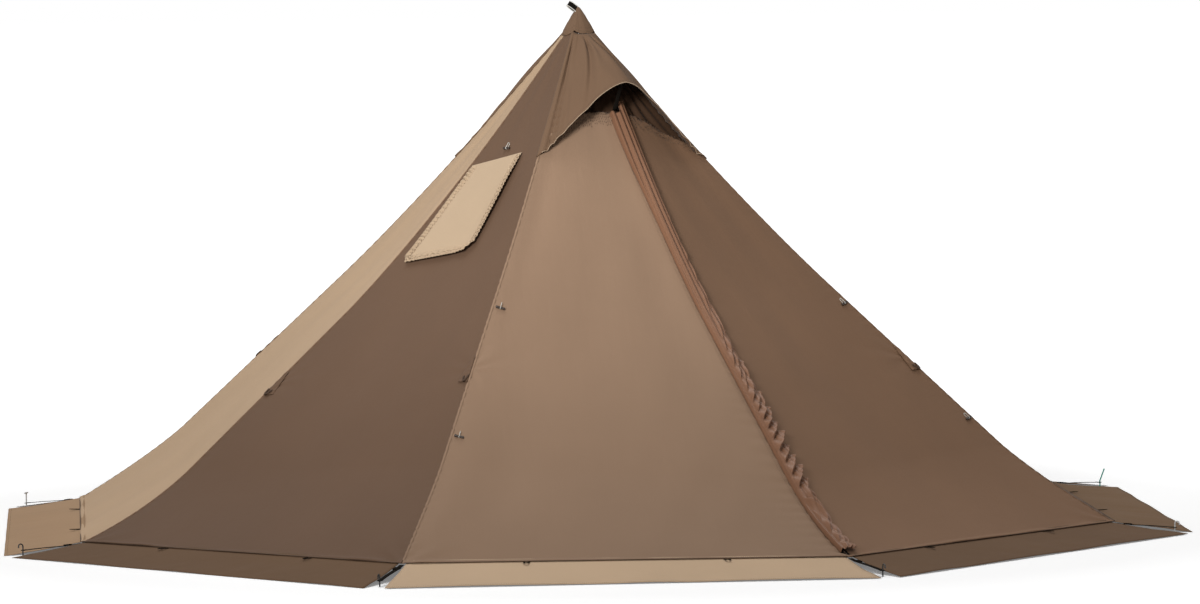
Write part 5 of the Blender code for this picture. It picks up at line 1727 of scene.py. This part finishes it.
@dataclass
class Toggle:
    """A turned bar on its cord loop."""

    body: Body
    place: Matrix
    length: float = 0.042
    radius: float = 0.0055
    waist: float = 0.0034
    drop: float = 0.028
    cord_radius: float = 0.0014
    lift: float = 0.0062

    def build(self) -> None:
        """Bar and cord, both on the toggle's own body."""
        centre = self.place @ Matrix.Translation((self.drop + 0.004, 0.0, self.lift)) @ Matrix.Rotation(
            math.pi / 2, 4, "X")
        half = self.length / 2
        profile = [(0.0, half)]
        for share in Meshes.even(36):
            along = lerp(half, -half, share)
            side = abs(along) / half
            body = lerp(self.waist, self.radius, smooth((side - 0.06) / 0.16))
            end = math.sqrt(max(1 - max((side - 0.86) / 0.14, 0.0) ** 2, 0.02))
            profile.append((body * end, along))
        profile.append((0.0, -half))
        node = self.body.value
        dress(Meshes.turned(node + "_bar", profile, 20, centre), LOOK.toggle, Slot.WOOD, self.body, (node,))
        points = []
        loop = self.waist + self.cord_radius
        for middle, start in ((0.004 + loop, 0.5), (self.drop + 0.004, -0.5)):
            for step in range(9):
                angle = math.pi * (start + step / 8)
                points.append(self.place @ Vector((middle + loop * math.cos(angle), 0.0,
                                                   self.lift + loop * math.sin(angle))))
        cord = Meshes.tube(node + "_loop", points, self.cord_radius, cyclic=True)
        dress(cord, LOOK.white_cord, Slot.WOOD, self.body)


@dataclass
class Toggles:
    """The four door toggles and the one over the stove flap."""

    inset: float = 0.034
    shares: tuple[float, float] = (0.50, 0.73)

    def frame_on(self, panel: int, across: float, reach: float) -> Matrix:
        """Place on a panel: X down the slope, Z out.

        Args:
            panel: the panel's number.
            across: 0 to 1 across the panel.
            reach: distance from the pole.

        Returns:
            The place.
        """
        point = FORM.panel_point(panel, across, reach)
        down = FORM.panel_point(panel, across, reach + 0.001) - point
        return place_at(point, down, FORM.panel_normal(panel, across, reach))

    def build(self) -> None:
        """All five."""
        for panel, word in ((0, "left"), (1, "right")):
            for level, share in zip(("upper", "lower"), self.shares):
                reach = FORM.base_radius * share
                across = self.inset / FORM.panel_width(reach)
                place = self.frame_on(panel, across if panel == 0 else 1 - across, reach)
                Toggle(Body(f"{word}_{level}_toggle"), place).build()
        stove = StoveOpening()
        reach = stove.flap_top - 0.056
        across = (stove.top_left + stove.top_right) / 2 / FORM.panel_width(reach)
        place = self.frame_on(FORM.stove_panel, across, reach) @ Matrix.Translation((0.0, 0.0, 0.0025))
        Toggle(Body.STOVE_FLAP_TOGGLE, place).build()


@dataclass
class GuyOuts:
    """Reinforced patches beside the ridges with their webbing loops."""

    half_length: float = 0.055
    width: float = 0.055
    tip: float = 0.014
    carriers: tuple[tuple[int, int], ...] = ((3, 1), (4, 1), (6, -1), (7, 1), (0, -1), (2, -1))

    def patch(self, ridge: int, side: int) -> Object:
        """One patch that tapers up the slope.

        Args:
            ridge: the ridge's number.
            side: -1 for left, 1 for right.

        Returns:
            The new object.
        """
        def place(across: float, down: float) -> Vector:
            """Point on the outer face.

            Args:
                across: 0 to 1 across.
                down: 0 to 1 down.

            Returns:
                The point.
            """
            reach = FORM.guy_reach + lerp(-self.half_length, self.half_length, down)
            wide = lerp(self.tip, self.width, down)
            near, far = sorted((side * 0.003, side * (0.003 + wide)))
            ripple = 0.0009 * math.sin(down * 19 + across * 5)
            return FORM.ridge_skin(ridge, lerp(near, far, across), reach, 0.0048 + ripple, 0.0005)
        return Meshes.sheet(f"guy_patch_{ridge}", place, Meshes.even(12), Meshes.even(24), 0.0012)

    def loop(self, ridge: int, side: int) -> Object:
        """The webbing loop that hangs down the slope from the patch.

        Args:
            ridge: the ridge's number.
            side: -1 for left, 1 for right.

        Returns:
            The new object.
        """
        top = FORM.guy_reach + self.half_length * 0.55
        foot = FORM.ridge_skin(ridge, side * 0.018, top, 0.0085, 0.0005)
        down = FORM.ridge_point(ridge, top + 0.01) - FORM.ridge_point(ridge, top)
        normal = FORM.panel_normal(ridge if side > 0 else ridge - 1, 0.5, top)
        place = place_at(foot, down, normal)

        def strip(across: float, along: float) -> Vector:
            """Point on the flattened webbing.

            Args:
                across: 0 to 1 across.
                along: 0 to 1 along.

            Returns:
                The point.
            """
            angle = math.pi * along
            wide = lerp(-0.0045, 0.0045, across)
            return place @ Vector(((0.034 + wide) * math.sin(angle), (0.011 + wide) * math.cos(angle),
                                   0.004 * math.sin(angle)))
        return Meshes.sheet(f"guy_loop_{ridge}", strip, Meshes.even(4), Meshes.even(40), 0.0018)

    def build(self) -> None:
        """All six."""
        for ridge, side in self.carriers:
            finish = LOOK.stove_side if ridge in (7, 0, 6) else LOOK.front_right
            dress(self.patch(ridge, side), finish, Slot.BROWN, Body.TENT)
            dress(self.loop(ridge, side), LOOK.brown_webbing, Slot.WEBBING, Body.TENT)


@dataclass
class HemLoops:
    """Webbing loops on the hem, two a panel."""

    shares: tuple[float, float] = (0.273, 0.727)
    length: float = 0.046
    half: float = 0.0105

    def strip(self, skirt: SnowSkirt, across: float, number: int) -> Object:
        """One flattened loop that lies just off the skirt.

        Args:
            skirt: the skirt that carries it.
            across: 0 to 1 across.
            number: which loop of the skirt.

        Returns:
            The new object.
        """
        first, second = skirt.place(across, 0.1), skirt.place(across, 0.3)
        slope = (second - first).normalized()
        side = FORM.sideways(FORM.ridge_angle(skirt.panel + 0.5))
        lean = (slope + slope.cross(side) * 0.2).normalized()
        place = place_at(first + lean.cross(side) * 0.0006, lean, lean.cross(side))

        def band(width_share: float, along: float) -> Vector:
            """Point on the flattened webbing.

            Args:
                width_share: 0 to 1 across.
                along: 0 to 1 along.

            Returns:
                The point.
            """
            angle = math.pi * along
            reach_out = self.length * math.sin(angle)
            aside = self.half * math.cos(angle)
            wide = lerp(-0.0035, 0.0035, width_share)
            return place @ Vector((reach_out * (1 + wide / self.length), aside * (1 + wide / self.half), 0.0012))
        return Meshes.sheet(f"hem_loop_{skirt.panel}_{number}", band, Meshes.even(3), Meshes.even(24), 0.0018)

    def build(self, skirts: Sequence[SnowSkirt]) -> None:
        """Loops for every skirt.

        Args:
            skirts: every skirt.
        """
        for skirt in skirts:
            for number, across in enumerate(self.shares):
                dress(self.strip(skirt, across, number), LOOK.webbing, Slot.WEBBING, carrier(skirt.panel))


@dataclass
class ApexCap:
    """The sewn cone on the apex and its hang loop."""

    radius: float = 0.074
    tip_rise: float = 0.034
    steps: int = 96
    folds: int = 8

    def cloth_height(self, angle: float, radius: float) -> float:
        """Height of the hoods and panels under the cone's edge.

        Args:
            angle: direction from the pole.
            radius: the cone's radius.

        Returns:
            The height.
        """
        place = (angle - FORM.first_angle) / (math.tau / FORM.corners) % FORM.corners
        panel = int(place)
        turn = (place - panel - 0.5) * math.tau / FORM.corners
        reach = radius * math.cos(turn) / math.cos(math.pi / FORM.corners)
        height = FORM.panel_point(panel, place - panel, reach).z + 0.0035
        hooded = min(abs(place - FORM.door_ridge), abs(place - FORM.rear_ridge), abs(place - 8 - FORM.door_ridge))
        return height + 0.007 * smooth((1.05 - hooded) / 0.15)

    def build(self) -> None:
        """Cone, its stitched edge and the loop's finish."""
        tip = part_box("apex_cap")[1].z + self.tip_rise

        def place(across: float, down: float) -> Vector:
            """Point on the outer face.

            Args:
                across: 0 to 1 across.
                down: 0 to 1 down.

            Returns:
                The point.
            """
            angle = math.tau * across
            radius = lerp(0.0, self.radius, down)
            edge = self.cloth_height(angle, self.radius)
            dome = 0.003 * (1 - smooth(down / 0.10))
            height = lerp(tip, edge, down ** 1.22) - dome
            depth = math.sin(math.pi * min(down * 1.1, 1.0))
            height -= 0.0022 * depth * (0.5 + 0.5 * math.cos(self.folds * angle)) * wander(angle, 1.0, 2.0) * 2
            pucker = abs(math.sin(21 * angle + 3 * wander(angle * 2, 4.0, 1.0)))
            height += 0.0028 * smooth((down - 0.62) / 0.12) * pucker
            return Vector((radius * math.cos(angle), radius * math.sin(angle), height))
        cone = Meshes.sheet("apex_cone", place, Meshes.even(self.steps), [0.02, *Meshes.even(30)[1:]], 0.0025)
        with Meshes.edited(cone.data) as shape:
            bmesh.ops.remove_doubles(shape, verts=shape.verts, dist=0.0002)
            bmesh.ops.contextual_create(shape, geom=[edge for edge in shape.edges if edge.is_boundary])
        dress(cone, replace_uv(LOOK.hood, "apex_cloth"), Slot.BROWN, Body.TENT, ("apex_cap",))
        rings = [trace(lambda across: above(place(across, down), 0.0008), 90) for down in (0.84, 0.94)]
        STITCHER.sew("apex_thread", rings, LOOK.dark_thread, Slot.BROWN, Body.TENT, pitch=0.006)
        self.loop()

    def loop(self) -> None:
        """The hang loop: folded black webbing with pale edges that leans to the left."""
        low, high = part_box("hang_loop")
        foot = Vector(((low.x + high.x) / 2 + (high.x - low.x) * 0.34, 0.0, low.z + 0.012))
        head = Vector((low.x - 0.006, 0.0, high.z - 0.003))
        along = (head - foot).normalized()
        wide = (Vector((along.z, 0.0, -along.x)) * 0.8 + Vector((0.0, 0.6, 0.0))).normalized()
        thick = along.cross(wide).normalized()

        def middle(turn: float) -> Vector:
            """Point on the middle line of the webbing."""
            return foot + (head - foot) * (0.5 - 0.5 * math.cos(turn)) + thick * (0.006 * math.sin(turn))

        def place(across: float, down: float) -> Vector:
            """Point on the outer face."""
            return middle(math.tau * down * 0.98 + 0.06) + wide * lerp(-0.0145, 0.0145, across)
        band = Meshes.sheet("hang_loop_webbing", place, Meshes.even(8), Meshes.even(48), 0.0014)
        dress(band, LOOK.webbing, Slot.WEBBING, Body.TENT, ("hang_loop",))
        edges = [Meshes.tube(f"loop_edge_{side}", trace(lambda down: place(side, down), 48), 0.0019)
                 for side in (0, 1)]
        dress(Meshes.joined("hang_loop_edges", edges), LOOK.white_cord, Slot.WEBBING, Body.TENT)


def replace_uv(finish: ClothFinish, name: str) -> ClothFinish:
    """The same cloth on object coordinates, for a piece without a UV map."""
    return ClothFinish(name, finish.colour, finish.roughness, finish.sheen, on_uv=False)


@dataclass
class GroundGear:
    """Corner straps, pegs and the pole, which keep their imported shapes."""

    def build(self) -> None:
        """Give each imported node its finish."""
        pegs = {2: LOOK.white_peg, 3: LOOK.teal_peg, 6: LOOK.white_peg}
        looks = {"pole_lower": LOOK.pole, "pole_middle": LOOK.pole, "pole_upper": LOOK.pole, "pole_foot": LOOK.rubber,
                 "pole_tip": LOOK.plastic}
        for corner in range(FORM.corners):
            looks[f"corner_strap_{corner}"] = LOOK.webbing
            looks[f"corner_peg_{corner}"] = pegs.get(corner, LOOK.steel)
        for node, look in looks.items():
            paint(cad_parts[node], look)


WHITE = (1.0, 1.0, 1.0, 1.0)


@dataclass
class Studio:
    """Floor, light and camera."""

    world_level: float = 0.30
    key_level: float = 0.60
    top_level: float = 1.3
    spot_level: float = 2300.0
    spot_half: float = 17.0
    floor_lift: float = 0.20
    white: float = 1.0
    clear_radius: float = 2.9
    fade_width: float = 1.4
    key_toward: tuple[float, float, float] = (0.38, 0.85, -0.38)
    top_toward: tuple[float, float, float] = (0.12, -0.38, -0.92)
    spot_at: tuple[float, float, float] = (-3.6, -7.9, 3.7)
    spot_on: tuple[float, float, float] = (-0.25, 0.0, 1.65)
    sensor: float = 36.0
    focal_share: float = 6481.8 / 1200.0
    eye_at: tuple[float, float, float] = (-2.203, -28.424, 2.924)
    eye_turns: tuple[float, float, float] = (-4.594, -3.929, -0.66)

    def floor(self) -> None:
        """A pale floor that turns plain white away from the tent."""
        mesh = bpy.data.meshes.new("floor")
        with Meshes.edited(mesh) as shape:
            bmesh.ops.create_grid(shape, x_segments=2, y_segments=2, size=90.0)
        floor = Meshes.item("floor", mesh)
        floor.location.z = -0.0005
        material, graph, lit = Graph.material("floor_paper")
        path = graph.add("ShaderNodeLightPath")
        seen = graph.math("MAXIMUM", path["Is Camera Ray"],
                          graph.math("MAXIMUM", path["Is Glossy Ray"], path["Is Transmission Ray"]))
        tint = graph.add("ShaderNodeMix", {"A": (0.40, 0.40, 0.40, 1.0), "B": WHITE, "Factor": seen},
                         data_type="RGBA")
        graph.fill(lit, {"Roughness": 0.9, "Specular IOR Level": 0.0, "Base Color": tint["Result"]})
        where = graph.add("ShaderNodeTexCoord")
        length = graph.add("ShaderNodeVectorMath", {0: where["Object"]}, operation="LENGTH")
        far = graph.math("DIVIDE", graph.math("SUBTRACT", length["Value"], self.clear_radius), self.fade_width,
                         clamp=True)
        glow = graph.add("ShaderNodeEmission", {"Color": WHITE, "Strength": self.white})
        blend = graph.add("ShaderNodeMixShader", {"Fac": graph.times(far, seen), 1: lit.outputs["BSDF"],
                                                  2: glow["Emission"]})
        lift = graph.add("ShaderNodeEmission", {"Strength": graph.times(seen, self.floor_lift)})
        total = graph.add("ShaderNodeAddShader", {0: blend["Shader"], 1: lift["Emission"]})
        graph.fill(graph.tree.nodes["Material Output"], {"Surface": total["Shader"]})
        mesh.materials.append(material)

    def lamp(self, name: str, kind: str, energy: float, toward: Vector) -> Object:
        """A light that shines toward a direction.

        Args:
            name: its name.
            kind: its type.
            energy: its strength.
            toward: where it shines.

        Returns:
            The lamp.
        """
        light = bpy.data.lights.new(name, kind)
        light.energy = energy
        lamp = Meshes.item(name, light)
        lamp.rotation_euler = toward.to_track_quat("-Z", "Y").to_euler()
        return lamp

    def lights(self) -> None:
        """Even sky light, a broad key, light from above and a soft spot on the front."""
        world = bpy.data.worlds.new("studio")
        bpy.context.scene.world = world
        world.use_nodes = True
        graph = Graph(world.node_tree)
        sky = graph.fill(graph.tree.nodes["Background"], {"Color": WHITE, "Strength": self.world_level})
        plain = graph.add("ShaderNodeBackground", {"Color": WHITE, "Strength": self.white})
        path = graph.add("ShaderNodeLightPath")
        mix = graph.add("ShaderNodeMixShader", {"Fac": path["Is Camera Ray"], 1: sky.outputs["Background"],
                                                2: plain["Background"]})
        graph.fill(graph.tree.nodes["World Output"], {"Surface": mix["Shader"]})
        self.lamp("key", "SUN", self.key_level, Vector(self.key_toward)).data.angle = math.radians(20)
        self.lamp("above", "SUN", self.top_level, Vector(self.top_toward)).data.angle = math.radians(40)
        stand = Vector(self.spot_at)
        spot = self.lamp("spot", "SPOT", self.spot_level, Vector(self.spot_on) - stand)
        spot.location = stand
        spot.data.spot_size = math.radians(2 * self.spot_half)
        spot.data.spot_blend = 1.0
        spot.data.shadow_soft_size = 1.2

    def camera(self) -> None:
        """The photograph's viewing angle."""
        lens = bpy.data.cameras.new("camera")
        lens.sensor_width = self.sensor
        lens.lens = self.focal_share * self.sensor
        lens.clip_end = 200.0
        eye = Meshes.item("camera", lens)
        eye.location = self.eye_at
        yaw, pitch, roll = (math.radians(turn) for turn in self.eye_turns)
        eye.rotation_euler = (Matrix.Rotation(yaw, 4, "Z") @ Matrix.Rotation(math.pi / 2 + pitch, 4, "X")
                              @ Matrix.Rotation(roll, 4, "Z")).to_euler()
        bpy.context.scene.camera = eye

    def build(self) -> None:
        """All of it, with a plain view transform."""
        self.floor()
        self.lights()
        self.camera()
        bpy.context.scene.view_settings.view_transform = "Standard"


@dataclass
class HotTent:
    """The whole tent."""

    def panels(self) -> list[PanelCloth]:
        """Every panel with its cloth.

        Returns:
            The panels.
        """
        low = FORM.vent_reach + 0.0005
        return [
            PanelCloth(0, "front_cloth", LOOK.front, Slot.TAN, ("front_left_panel", "left_door"), top=low),
            PanelCloth(1, "right_front_cloth", LOOK.front_right, Slot.BROWN, ("front_right_panel", "right_door"),
                       top=low),
            PanelCloth(2, "right_cloth", LOOK.stove_side, Slot.BROWN, ("right_panel",)),
            PanelCloth(3, "rear_side_cloth", LOOK.stove_side, Slot.BROWN, ("rear_side_panel",)),
            PanelCloth(4, "rear_cloth", LOOK.front, Slot.TAN, ("rear_left_panel",), top=low),
            PanelCloth(5, "rear_right_cloth", LOOK.front_right, Slot.BROWN, ("rear_right_panel",), top=low),
            PanelCloth(6, "left_cloth", LOOK.far_left, Slot.LIGHT, ("left_panel",)),
            PanelCloth(7, "left_front_cloth", LOOK.stove_side, Slot.BROWN, ("stove_panel",)),
        ]

    def skirts(self) -> list[SnowSkirt]:
        """Every snow skirt.

        Returns:
            The skirts.
        """
        light, dark = (LOOK.skirt_light, Slot.LIGHT), (LOOK.skirt_dark, Slot.BROWN)
        rows = (
            (0, "front_skirt", light, "left_door_skirt", 0.003),
            (1, "right_front_skirt", dark, "right_door_skirt", 0.003),
            (2, "right_skirt_cloth", (LOOK.skirt_side, Slot.BROWN), "right_skirt", 0.0),
            (3, "rear_side_skirt_cloth", dark, "rear_side_skirt", 0.0),
            (4, "rear_skirt_cloth", light, "rear_left_skirt", 0.0),
            (5, "rear_right_skirt_cloth", dark, "rear_right_skirt", 0.0),
            (6, "left_skirt_cloth", (LOOK.skirt_far, Slot.LIGHT), "left_skirt", 0.0),
            (7, "left_front_skirt", dark, "stove_skirt", 0.0),
        )
        return [SnowSkirt(panel, name, look, slot, node, lift) for panel, name, (look, slot), node, lift in rows]

    def build(self) -> None:
        """Build and dress every sub-assembly in order."""
        for cloth in self.panels():
            cloth.build()
        skirts = self.skirts()
        for skirt in skirts:
            skirt.build()
            STITCHER.sew(skirt.name + "_thread", skirt.rows_of_thread(), LOOK.dark_thread, skirt.slot,
                         carrier(skirt.panel), pitch=0.009)
            # Painted shadow: a dark cord along the hem stands in for the shade under the panel's edge.
            dress(skirt.painted_hem_shadow(), LOOK.dark_thread, skirt.slot, carrier(skirt.panel))
        Seams().build()
        VentHood(FORM.door_ridge, "front").build()
        VentHood(FORM.rear_ridge, "rear").build()
        StormFlap().build()
        Zip().build()
        StoveOpening().build()
        Toggles().build()
        GuyOuts().build()
        HemLoops().build(skirts)
        ApexCap().build()
        GroundGear().build()


def main() -> None:
    """Build the tent and its studio."""
    logging.basicConfig(level=logging.INFO, format="%(message)s")
    Studio().build()
    HotTent().build()


if __name__ == "__main__":
    main()
